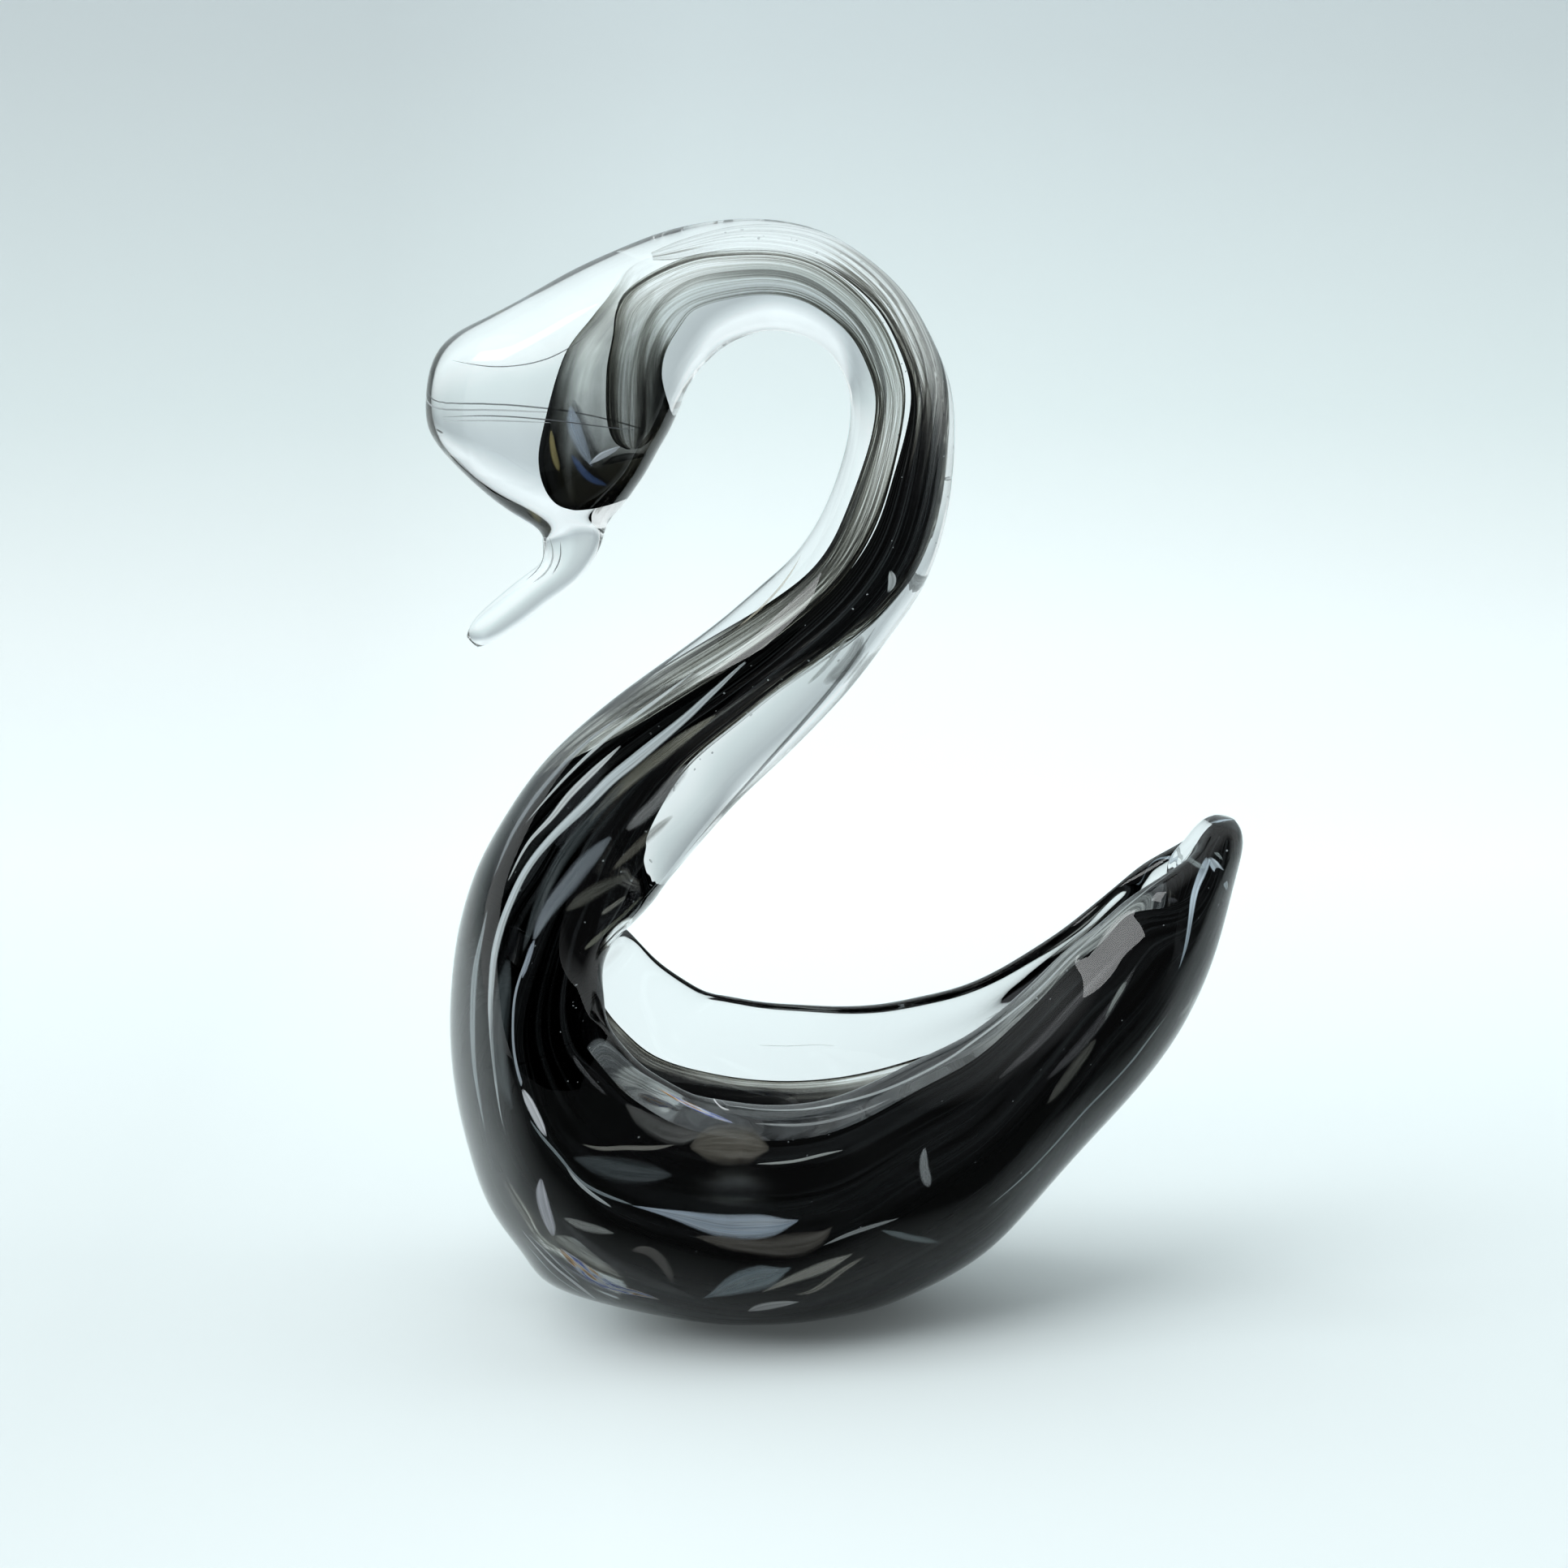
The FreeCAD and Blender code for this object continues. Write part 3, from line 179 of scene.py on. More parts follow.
# streaks in the glass and painted light, one film each: where, kind, softness of the edge, colour, and points x, y, z,
# half width; the dark films are darker streaks in the smoke, most pale and white ones are painted highlights,
# reflections and glints
STREAKS_AND_PAINTED_LIGHT = [
    # S1 to S15 on the near wall and the foot, S3 apart: pale films, painted highlights, glints and reflections; S3 and
    # S16 to S22 are darker streaks in the smoke
    ('S1', 'bowl', 'streak_and_painted_light', 0.45, (0.58, 0.66, 0.76), [(-32.7, -33.13, 28.02, 0.26), (-31.07, -33.28, 27.7, 0.38), (-29.3, -33.44, 27.33, 0.53), (-27.48, -33.58, 26.94, 0.72), (-25.79, -33.7, 26.55, 0.95), (-24.21, -33.8, 26.17, 1.22), (-22.6, -33.89, 25.76, 1.5), (-20.87, -33.97, 25.35, 1.79), (-19.08, -34.05, 25.0, 2.02), (-17.29, -34.09, 24.79, 2.17), (-15.49, -34.11, 24.7, 2.23), (-13.68, -34.07, 24.7, 2.22), (-11.91, -33.98, 24.74, 2.13), (-10.21, -33.83, 24.84, 1.91), (-8.49, -33.62, 25.11, 1.38), (-6.66, -33.35, 25.58, 0.52)]),
    ('S2', 'bowl', 'streak_and_painted_light', 0.6, (0.42, 0.49, 0.53), [(-21.61, -26.4, 11.15, 0.27), (-19.95, -27.76, 12.15, 0.99), (-18.34, -28.99, 13.14, 1.69), (-16.85, -29.96, 14.04, 2.32), (-15.48, -30.64, 14.79, 2.76), (-14.13, -31.08, 15.38, 2.97), (-12.76, -31.35, 15.83, 2.92), (-11.36, -31.49, 16.23, 2.57), (-9.74, -31.62, 16.8, 1.76), (-7.83, -31.79, 17.66, 0.52)]),
    ('S3', 'bowl', 'streak_and_painted_light', 0.8, (0.13, 0.12, 0.105), [(-22.75, -33.39, 23.06, 0.61), (-21.27, -33.49, 22.8, 0.89), (-19.61, -33.58, 22.51, 1.17), (-17.81, -33.65, 22.22, 1.41), (-15.99, -33.67, 21.95, 1.56), (-14.17, -33.63, 21.71, 1.66), (-12.38, -33.54, 21.52, 1.82), (-10.63, -33.38, 21.41, 2.08), (-8.91, -33.17, 21.39, 2.33), (-7.11, -32.88, 21.49, 2.4), (-5.25, -32.52, 21.79, 2.17), (-3.58, -32.18, 22.36, 1.68), (-2.36, -31.94, 23.19, 1.07), (-1.5, -31.78, 24.13, 0.44)]),
    ('S4', 'bowl', 'streak_and_painted_light', 0.9, (0.5, 0.51, 0.49), [(-43.32, -27.82, 24.57, 0.53), (-42.16, -28.45, 24.15, 0.86), (-40.91, -29.1, 23.79, 1.09), (-39.57, -29.73, 23.53, 1.13), (-38.18, -30.28, 23.34, 0.99), (-36.82, -30.71, 23.14, 0.73), (-35.55, -31.04, 22.91, 0.44)]),
    ('S5', 'bowl', 'streak_and_painted_light', 0.4, (0.33, 0.38, 0.4), [(-48.31, -29.31, 40.83, 0.35), (-47.28, -30.01, 39.45, 0.35), (-46.08, -30.69, 38.03, 0.35), (-44.73, -31.27, 36.56, 0.34), (-43.39, -31.63, 34.95, 0.32), (-42.15, -31.81, 33.32, 0.3), (-40.88, -31.97, 31.95, 0.31), (-39.49, -32.2, 30.93, 0.33), (-37.95, -32.46, 30.11, 0.35), (-36.26, -32.72, 29.38, 0.35), (-34.47, -32.96, 28.74, 0.35), (-32.7, -33.16, 28.16, 0.35)]),
    ('S6', 'bowl', 'streak_and_painted_light', 0.4, (0.8, 0.85, 0.86), [(-42.89, -31.72, 34.07, 0.26), (-41.73, -31.76, 32.42, 0.34), (-40.43, -31.88, 30.94, 0.38), (-38.96, -32.06, 29.66, 0.37), (-37.4, -32.26, 28.55, 0.32), (-35.88, -32.45, 27.57, 0.26)]),
    ('S7', 'bowl', 'streak_and_painted_light', 0.5, (0.85, 0.85, 0.92), [(-46.65, -28.51, 31.3, 0.78), (-46.62, -27.28, 28.78, 1.2), (-46.34, -26.26, 26.44, 1.48), (-45.85, -25.39, 24.25, 1.53), (-45.35, -24.53, 22.19, 1.35), (-44.9, -23.69, 20.29, 1.05)]),
    ('S8', 'bowl', 'streak_and_painted_light', 0.3, (0.95, 0.97, 1), [(-49.31, -14.99, 19.54, 0.27), (-48.32, -15.31, 18.14, 0.35), (-47.18, -15.85, 16.66, 0.44), (-45.94, -16.6, 15.27, 0.52), (-44.72, -17.3, 14.14, 0.58), (-43.5, -17.51, 13.12, 0.63), (-42.25, -16.95, 12.04, 0.65), (-40.96, -15.44, 10.84, 0.64), (-39.6, -12.8, 9.61, 0.61), (-38.19, -9.3, 8.4, 0.57)]),
    ('S8b', 'bowl', 'streak_and_painted_light', 0.3, (0.45, 0.5, 0.52), [(-47.99, -11.58, 16.19, 0.4), (-46.88, -12.55, 14.81, 0.4), (-45.65, -13.3, 13.44, 0.4), (-44.35, -13.57, 12.22, 0.4), (-43.02, -13.17, 11.16, 0.4), (-41.67, -12.07, 10.19, 0.4), (-40.35, -10.52, 9.27, 0.4)]),
    ('S8c', 'bowl', 'streak_and_painted_light', 0.3, (0.6, 0.65, 0.68), [(-48.37, -16.86, 19.1, 0.26), (-47.24, -17.83, 18.02, 0.31), (-45.96, -18.83, 16.85, 0.36), (-44.6, -19.57, 15.61, 0.37), (-43.25, -19.69, 14.32, 0.36), (-42.0, -19.12, 12.99, 0.31), (-40.86, -18.11, 11.68, 0.26)]),
    ('S9', 'bowl', 'painted_rainbow', 0.4, (0.85, 0.85, 0.88), [(-44.02, -23.16, 18.18, 1.31), (-42.99, -23.4, 17.3, 1.57), (-41.84, -23.44, 16.28, 1.83), (-40.59, -23.18, 15.11, 2.03), (-39.3, -22.65, 13.91, 2.14), (-37.95, -22.02, 12.77, 2.14), (-36.46, -21.65, 11.9, 2.05), (-34.77, -21.75, 11.35, 1.85), (-33.01, -22.08, 10.98, 1.57), (-31.32, -22.29, 10.59, 1.26), (-29.78, -22.31, 10.16, 0.95), (-28.4, -22.24, 9.72, 0.66)]),
    ('S10', 'bowl', 'streak_and_painted_light', 0.5, (0.97, 0.97, 0.97), [(-14.71, -24.14, 8.43, 0.39), (-13.39, -25.12, 9.13, 1.2), (-11.82, -25.87, 9.74, 1.63), (-10.02, -26.22, 10.15, 1.47), (-8.2, -26.2, 10.36, 0.92), (-6.51, -25.98, 10.46, 0.26)]),
    ('S11', 'bowl', 'streak_and_painted_light', 0.8, (0.68, 0.66, 0.6), [(-12.41, -29.37, 13.01, 0.39), (-11.04, -29.85, 13.78, 0.59), (-9.52, -30.25, 14.56, 0.81), (-7.92, -30.48, 15.29, 1.04), (-6.37, -30.52, 15.89, 1.27), (-4.83, -30.41, 16.42, 1.42), (-3.21, -30.19, 16.99, 1.42), (-1.51, -29.88, 17.63, 1.21), (0.13, -29.5, 18.27, 0.88), (1.64, -29.08, 18.85, 0.52)]),
    ('S11b', 'bowl', 'streak_and_painted_light', 0.6, (0.42, 0.4, 0.35), [(-7.38, -28.02, 12.21, 0.26), (-5.88, -27.66, 12.28, 0.55), (-4.3, -27.61, 12.8, 0.78), (-2.69, -27.91, 13.9, 0.88), (-1.08, -28.24, 15.22, 0.83), (0.52, -28.25, 16.34, 0.7), (2.03, -27.99, 17.17, 0.53), (3.42, -27.63, 17.86, 0.35)]),
    ('S12', 'bowl', 'streak_and_painted_light', 0.6, (0.55, 0.57, 0.57), [(-2.91, -31.7, 21.0, 0.17), (-1.69, -31.36, 21.49, 0.26), (-0.29, -30.91, 21.98, 0.35), (1.39, -30.25, 22.45, 0.42), (3.33, -29.37, 22.84, 0.44), (5.37, -28.38, 23.18, 0.4), (7.31, -27.43, 23.49, 0.3), (9.08, -26.59, 23.8, 0.18)]),
    ('S13', 'bowl', 'streak_and_painted_light', 0.9, (0.27, 0.32, 0.33), [(6.18, -27.71, 22.17, 0.35), (7.61, -26.74, 21.52, 0.51), (9.2, -25.63, 20.81, 0.65), (10.91, -24.42, 20.07, 0.71), (12.63, -23.17, 19.39, 0.68), (14.22, -21.95, 18.78, 0.57), (15.66, -20.8, 18.21, 0.44)]),
    ('S14', 'bowl', 'streak_and_painted_light', 0.7, (0.4, 0.42, 0.43), [(13.37, -24.39, 34.45, 0.44), (13.19, -24.75, 33.08, 0.69), (13.2, -25.02, 31.55, 0.89), (13.49, -25.1, 29.93, 1.0), (13.97, -25.04, 28.33, 1.05)]),
    ('S15', 'bowl', 'streak_and_painted_light', 0.5, (0.55, 0.57, 0.55), [(-13.24, -33.15, 34.6, 0.17), (-11.57, -32.96, 34.59, 0.2), (-9.75, -32.72, 34.61, 0.23), (-7.92, -32.4, 34.7, 0.25), (-6.23, -32.0, 34.88, 0.26), (-4.65, -31.51, 35.11, 0.26), (-3.02, -30.91, 35.34, 0.25), (-1.33, -30.21, 35.51, 0.21), (0.34, -29.48, 35.65, 0.17)]),
    ('S16', 'bowl', 'streak_and_painted_light', 0.8, (0.13, 0.12, 0.1), [(-23.7, -33.19, 37.31, 1.21), (-22.35, -33.06, 37.57, 2.2), (-20.81, -32.93, 37.74, 3.03), (-19.12, -32.8, 37.75, 3.54), (-17.39, -32.67, 37.64, 3.73), (-15.72, -32.55, 37.47, 3.62), (-14.13, -32.46, 37.25, 3.14), (-12.62, -32.4, 37.0, 2.28), (-11.21, -32.35, 36.73, 1.21)]),
    ('S17', 'bowl', 'streak_and_painted_light', 0.9, (0.075, 0.088, 0.092), [(-41.78, -32.51, 35.73, 0.87), (-40.42, -32.83, 35.36, 1.29), (-38.92, -33.12, 34.95, 1.72), (-37.34, -33.36, 34.54, 2.09), (-35.81, -33.52, 34.18, 2.33), (-34.28, -33.62, 33.89, 2.42), (-32.69, -33.69, 33.64, 2.33), (-31.02, -33.75, 33.44, 2.05), (-29.31, -33.79, 33.29, 1.66), (-27.74, -33.83, 33.16, 1.25), (-26.35, -33.86, 33.05, 0.87)]),
    ('S18', 'bowl', 'streak_and_painted_light', 0.7, (0.3, 0.29, 0.26), [(-40.39, -33.27, 38.18, 0.26), (-38.89, -33.48, 37.75, 0.34), (-37.31, -33.66, 37.53, 0.4), (-35.68, -33.77, 37.57, 0.43), (-33.96, -33.78, 37.65, 0.45), (-32.07, -33.7, 37.57, 0.47), (-30.01, -33.55, 37.48, 0.46), (-27.96, -33.37, 37.59, 0.38), (-26.01, -33.19, 37.87, 0.26)]),
    ('S19', 'bowl', 'streak_and_painted_light', 0.6, (0.16, 0.15, 0.14), [(-32.75, -30.33, 19.85, 0.7), (-31.45, -30.82, 20.2, 0.95), (-30.08, -31.03, 20.0, 1.15), (-28.73, -30.79, 19.01, 1.22), (-27.62, -30.08, 17.42, 1.1), (-26.86, -29.07, 15.69, 0.81), (-26.37, -27.94, 14.04, 0.44)]),
    ('S20', 'bowl', 'streak_and_painted_light', 0.8, (0.16, 0.165, 0.17), [(-12.81, 27.77, 19.3, 0.95), (-11.97, 27.76, 19.38, 1.39), (-11.24, 27.74, 19.42, 1.82), (-10.61, 27.69, 19.43, 2.14), (-9.91, 27.62, 19.45, 2.26), (-8.89, 27.54, 19.58, 2.21), (-7.43, 27.43, 19.9, 2.01), (-5.55, 27.21, 20.39, 1.69), (-3.38, 26.82, 20.98, 1.31), (-1.09, 26.29, 21.59, 0.94)]),
    ('S21', 'bowl', 'streak_and_painted_light', 0.8, (0.11, 0.11, 0.105), [(-33.87, -33.55, 44.69, 0.69), (-32.78, -33.46, 43.61, 1.02), (-31.5, -33.35, 42.47, 1.36), (-30.01, -33.22, 41.37, 1.68), (-28.39, -33.07, 40.43, 1.91), (-26.66, -32.94, 39.7, 2.0), (-24.83, -32.79, 39.21, 1.85), (-22.97, -32.49, 38.93, 1.44), (-21.18, -32.03, 38.79, 0.87)]),
    ('S22', 'bowl', 'streak_and_painted_light', 0.8, (0.06, 0.06, 0.062), [(-43.96, -27.22, 24.41, 0.7), (-42.99, -27.49, 23.47, 0.89), (-41.86, -27.75, 22.38, 1.1), (-40.57, -27.91, 21.15, 1.33), (-39.19, -27.93, 19.88, 1.55), (-37.76, -27.82, 18.66, 1.74), (-36.3, -27.6, 17.53, 1.89), (-34.8, -27.33, 16.46, 2.01), (-33.26, -27.03, 15.46, 2.09), (-31.69, -26.72, 14.52, 2.12), (-30.08, -26.44, 13.66, 2.06), (-28.41, -26.23, 12.92, 1.9), (-26.7, -26.09, 12.26, 1.66), (-25.06, -25.99, 11.7, 1.38), (-23.63, -25.9, 11.23, 1.11), (-22.4, -25.81, 10.82, 0.88)]),
    # T1 to T14 on the tail: T2, T3 and T14 are painted highlights and reflections, T6, T7 and T9 pale lines along it;
    # the dark ones are darker streaks in the smoke
    ('T1', 'skin', 'streak_and_painted_light', 0.6, (0.28, 0.32, 0.32), [(56.62, 0.49, 74.71, 0.35), (57.9, -3.68, 75.25, 0.47), (58.9, -5.72, 75.33, 0.53)]),
    ('T2', 'bowl', 'streak_and_painted_light', 0.3, (0.62, 0.72, 0.8), [(60.15, -3.09, 76.03, 0.89), (59.42, -3.42, 74.79, 0.8), (58.64, -3.89, 73.52, 0.71), (57.86, -4.62, 72.24, 0.62), (57.17, -5.65, 70.95, 0.53), (56.64, -6.77, 69.56, 0.44), (56.25, -7.67, 68.07, 0.39), (55.94, -8.26, 66.55, 0.36), (55.63, -8.66, 65.02, 0.34), (55.25, -9.02, 63.49, 0.31), (54.76, -9.39, 61.87, 0.24), (54.19, -9.8, 60.15, 0.13)]),
    ('T3', 'bowl', 'streak_and_painted_light', 0.3, (0.58, 0.66, 0.72), [(60.26, -3.05, 76.21, 0.8), (60.61, -3.55, 75.18, 0.79), (61.02, -3.5, 73.71, 0.71), (61.49, -2.82, 71.75, 0.54)]),
    ('T4', 'bowl', 'streak_and_painted_light', 0.4, (0.22, 0.25, 0.25), [(59.61, 1.29, 76.36, 0.27), (60.36, -0.87, 77.01, 0.32), (60.95, -2.43, 77.01, 0.32), (61.39, -3.42, 76.38, 0.27)]),
    ('T6', 'bowl', 'streak_and_painted_light', 0.7, (0.45, 0.48, 0.46), [(46.3, -11.76, 58.38, 0.53), (45.23, -12.15, 56.7, 0.44), (44.23, -12.54, 55.13, 0.37), (43.39, -12.92, 53.69, 0.31), (42.69, -13.3, 52.34, 0.27)]),
    ('T7', 'bowl', 'streak_and_painted_light', 0.5, (0.42, 0.5, 0.5), [(52.3, -9.23, 52.73, 0.18), (51.44, -9.57, 51.65, 0.21), (50.49, -9.9, 50.44, 0.24), (49.5, -10.19, 49.16, 0.26), (48.54, -10.43, 47.89, 0.27), (47.57, -10.64, 46.63, 0.27), (46.51, -10.9, 45.35, 0.27), (45.34, -11.22, 44.04, 0.27), (44.07, -11.62, 42.72, 0.27), (42.78, -12.06, 41.45, 0.27), (41.5, -12.53, 40.26, 0.27), (40.23, -13.03, 39.08, 0.27), (38.98, -13.49, 37.89, 0.27), (37.8, -13.92, 36.68, 0.27), (36.63, -14.34, 35.45, 0.27), (35.44, -14.78, 34.19, 0.27), (34.21, -15.27, 32.92, 0.27), (32.95, -15.8, 31.66, 0.27), (31.65, -16.36, 30.39, 0.27), (30.31, -16.96, 29.13, 0.27), (28.89, -17.6, 27.89, 0.26), (27.37, -18.29, 26.67, 0.25), (25.81, -18.94, 25.5, 0.22), (24.39, -19.45, 24.45, 0.2), (23.15, -19.83, 23.52, 0.18)]),
    ('T8', 'bowl', 'streak_and_painted_light', 0.8, (0.11, 0.11, 0.1), [(51.52, -0.16, 49.43, 1.08), (50.73, -0.17, 48.24, 1.26), (49.87, -0.37, 46.98, 1.44), (48.93, -0.62, 45.69, 1.6), (47.96, -0.7, 44.43, 1.71), (46.98, -0.7, 43.21, 1.77), (45.98, -0.82, 42.01, 1.79), (44.98, -1.19, 40.8, 1.77), (43.94, -1.73, 39.58, 1.71), (42.82, -2.32, 38.25, 1.6), (41.6, -2.86, 36.83, 1.44), (40.39, -3.34, 35.42, 1.26), (39.28, -3.79, 34.13, 1.08)]),
    ('T9', 'bowl', 'streak_and_painted_light', 0.7, (0.38, 0.4, 0.38), [(54.91, -2.01, 55.4, 0.72), (53.63, -1.28, 53.04, 0.99), (53.27, -5.38, 51.79, 0.72)]),
    ('T10', 'bowl', 'streak_and_painted_light', 0.8, (0.055, 0.055, 0.06), [(52.76, -0.55, 67.79, 0.56), (55.27, 2.24, 68.97, 0.45)]),
    ('T11', 'bowl', 'streak_and_painted_light', 0.8, (0.07, 0.068, 0.07), [(25.45, -18.08, 43.73, 0.44), (26.48, -17.59, 44.49, 0.52), (27.69, -17.03, 45.39, 0.61), (29.09, -16.4, 46.45, 0.71), (30.57, -15.72, 47.63, 0.8), (32.03, -15.03, 48.84, 0.86), (33.4, -14.36, 50.06, 0.89), (34.76, -13.67, 51.32, 0.9), (36.13, -12.99, 52.63, 0.89), (37.52, -12.34, 53.97, 0.87), (38.89, -11.75, 55.32, 0.83), (40.29, -11.24, 56.72, 0.78), (41.74, -10.8, 58.23, 0.71), (43.21, -10.46, 59.81, 0.62), (44.56, -10.21, 61.31, 0.52), (45.71, -10.03, 62.62, 0.43), (46.7, -9.88, 63.75, 0.35)]),
    ('T12', 'bowl', 'streak_and_painted_light', 0.8, (0.06, 0.06, 0.062), [(33.21, -17.05, 43.56, 0.53), (34.34, -16.56, 44.51, 0.62), (35.62, -16.01, 45.63, 0.72), (37.03, -15.42, 46.92, 0.8), (38.39, -14.85, 48.22, 0.86), (39.61, -14.34, 49.46, 0.87), (40.74, -13.9, 50.68, 0.85), (41.83, -13.47, 51.93, 0.81), (42.91, -13.07, 53.22, 0.76), (43.98, -12.67, 54.64, 0.69), (45.09, -12.27, 56.25, 0.61), (46.16, -11.89, 57.92, 0.52), (47.09, -11.57, 59.46, 0.43), (47.88, -11.3, 60.81, 0.35)]),
    ('T13', 'bowl', 'streak_and_painted_light', 0.9, (0.09, 0.09, 0.08), [(33.11, -17.63, 39.77, 0.53), (33.95, -17.24, 40.79, 0.67), (34.92, -16.8, 41.97, 0.81), (36.01, -16.31, 43.27, 0.94), (37.12, -15.81, 44.62, 1.0), (38.24, -15.31, 45.97, 0.97), (39.33, -14.85, 47.28, 0.86), (40.31, -14.45, 48.47, 0.74), (41.17, -14.1, 49.51, 0.62)]),
    ('T14', 'bowl', 'streak_and_painted_light', 0.4, (0.75, 0.78, 0.78), [(5.08, 22.43, 20.52, 0.28), (6.05, 22.99, 23.32, 0.28), (7.83, 22.72, 25.41, 0.28), (10.06, 21.86, 26.69, 0.28), (12.19, 20.97, 27.57, 0.28), (14.17, 20.18, 28.42, 0.28), (16.17, 19.45, 29.5, 0.29), (18.23, 18.71, 30.9, 0.32), (20.32, 17.93, 32.51, 0.34), (22.39, 17.09, 34.16, 0.34), (24.31, 16.24, 35.81, 0.31), (25.94, 15.45, 37.43, 0.25), (27.28, 14.75, 38.99, 0.18)]),
    # B1 to B12 on the breast: B1, B1b and B2 are a painted softbox reflection, pale bands down the breast; B5 to B7
    # are painted highlights by its edge; the grey and dark ones are darker streaks
    ('B1', 'skin', 'streak_and_painted_light', 0.35, (0.72, 0.78, 0.8), [(-14.65, -7.88, 109.86, 0.52), (-15.79, -7.99, 108.88, 0.56), (-17.07, -8.14, 107.73, 0.61), (-18.47, -8.33, 106.42, 0.66), (-19.89, -8.52, 105.12, 0.69), (-21.27, -8.71, 103.86, 0.72), (-22.63, -8.9, 102.61, 0.74), (-24.02, -9.08, 101.36, 0.76), (-25.44, -9.25, 100.15, 0.79), (-26.85, -9.42, 98.98, 0.82), (-28.26, -9.6, 97.84, 0.86), (-29.66, -9.81, 96.71, 0.9), (-31.01, -10.04, 95.61, 0.93), (-32.36, -10.28, 94.5, 0.96), (-33.76, -10.52, 93.37, 0.97), (-35.14, -10.75, 92.25, 0.97), (-36.4, -10.99, 91.15, 0.96), (-37.54, -11.24, 90.04, 0.95), (-38.63, -11.48, 88.93, 0.93), (-39.73, -11.68, 87.8, 0.9), (-40.92, -11.84, 86.63, 0.86), (-42.22, -11.96, 85.37, 0.81), (-43.57, -12.04, 84.03, 0.76), (-44.87, -12.11, 82.69, 0.72), (-46.06, -12.18, 81.35, 0.7), (-47.17, -12.26, 80.01, 0.69), (-48.23, -12.4, 78.6, 0.69), (-49.22, -12.62, 77.12, 0.7), (-50.12, -12.95, 75.55, 0.72), (-50.92, -13.39, 73.93, 0.74), (-51.62, -13.9, 72.31, 0.77), (-52.24, -14.4, 70.75, 0.79), (-52.76, -14.87, 69.25, 0.82), (-53.2, -15.32, 67.82, 0.84), (-53.57, -15.78, 66.38, 0.86), (-53.9, -16.26, 64.86, 0.87), (-54.15, -16.82, 63.21, 0.85), (-54.31, -17.43, 61.49, 0.82), (-54.41, -18.01, 59.79, 0.79), (-54.48, -18.56, 58.12, 0.76), (-54.5, -19.13, 56.49, 0.73), (-54.45, -19.77, 54.91, 0.7), (-54.34, -20.43, 53.41, 0.68), (-54.21, -21.06, 51.92, 0.66), (-54.05, -21.65, 50.39, 0.64), (-53.87, -22.17, 48.78, 0.61), (-53.68, -22.59, 47.07, 0.57), (-53.47, -22.91, 45.28, 0.53), (-53.23, -23.15, 43.48, 0.48), (-52.97, -23.34, 41.73, 0.43), (-52.67, -23.51, 40.07, 0.37), (-52.34, -23.69, 38.62, 0.31), (-52.02, -23.87, 37.39, 0.26)]),
    ('B1b', 'skin', 'streak_and_painted_light', 0.35, (0.75, 0.78, 0.78), [(-34.51, -8.47, 96.07, 0.35), (-35.5, -8.67, 95.17, 0.44), (-36.63, -8.9, 94.13, 0.52), (-37.86, -9.13, 92.98, 0.59), (-39.1, -9.34, 91.81, 0.64), (-40.32, -9.52, 90.63, 0.67), (-41.52, -9.68, 89.43, 0.69), (-42.66, -9.85, 88.2, 0.68), (-43.71, -10.06, 86.93, 0.65), (-44.69, -10.27, 85.66, 0.59), (-45.7, -10.38, 84.42, 0.53), (-46.8, -10.36, 83.19, 0.47), (-47.93, -10.27, 81.91, 0.41), (-49.0, -10.3, 80.51, 0.36), (-49.95, -10.53, 78.98, 0.33), (-50.8, -10.89, 77.38, 0.3), (-51.53, -11.27, 75.89, 0.28), (-52.16, -11.61, 74.57, 0.26)]),
    ('B2', 'skin', 'streak_and_painted_light', 0.6, (0.5, 0.56, 0.58), [(-55.17, -11.11, 69.68, 0.44), (-55.47, -11.65, 68.22, 0.55), (-55.79, -12.19, 66.61, 0.67), (-56.14, -12.64, 64.87, 0.81), (-56.49, -12.97, 63.09, 0.97), (-56.79, -13.24, 61.32, 1.11), (-56.99, -13.57, 59.6, 1.22), (-57.12, -13.96, 57.88, 1.28), (-57.19, -14.41, 56.12, 1.3), (-57.22, -14.91, 54.31, 1.31), (-57.21, -15.43, 52.48, 1.28), (-57.16, -15.94, 50.64, 1.23), (-57.07, -16.39, 48.81, 1.15), (-56.95, -16.78, 47.0, 1.07), (-56.77, -17.13, 45.21, 0.98), (-56.53, -17.47, 43.47, 0.89), (-56.26, -17.77, 41.79, 0.8), (-55.96, -17.97, 40.12, 0.7), (-55.67, -18.07, 38.46, 0.58), (-55.4, -18.07, 36.92, 0.46), (-55.16, -18.01, 35.54, 0.35)]),
    ('B3', 'skin', 'streak_and_painted_light', 0.8, (0.055, 0.065, 0.068), [(-52.01, -18.85, 63.82, 1.4), (-52.25, -19.36, 62.28, 1.68), (-52.53, -19.88, 60.53, 1.96), (-52.78, -20.4, 58.72, 2.21), (-52.97, -20.88, 57.03, 2.39), (-53.1, -21.33, 55.45, 2.5), (-53.19, -21.8, 53.91, 2.57), (-53.21, -22.29, 52.39, 2.6), (-53.14, -22.79, 50.87, 2.57), (-53.01, -23.26, 49.36, 2.5), (-52.79, -23.73, 47.84, 2.39), (-52.45, -24.25, 46.26, 2.21), (-51.94, -24.88, 44.62, 1.96), (-51.37, -25.51, 43.06, 1.68), (-50.84, -26.06, 41.67, 1.4)]),
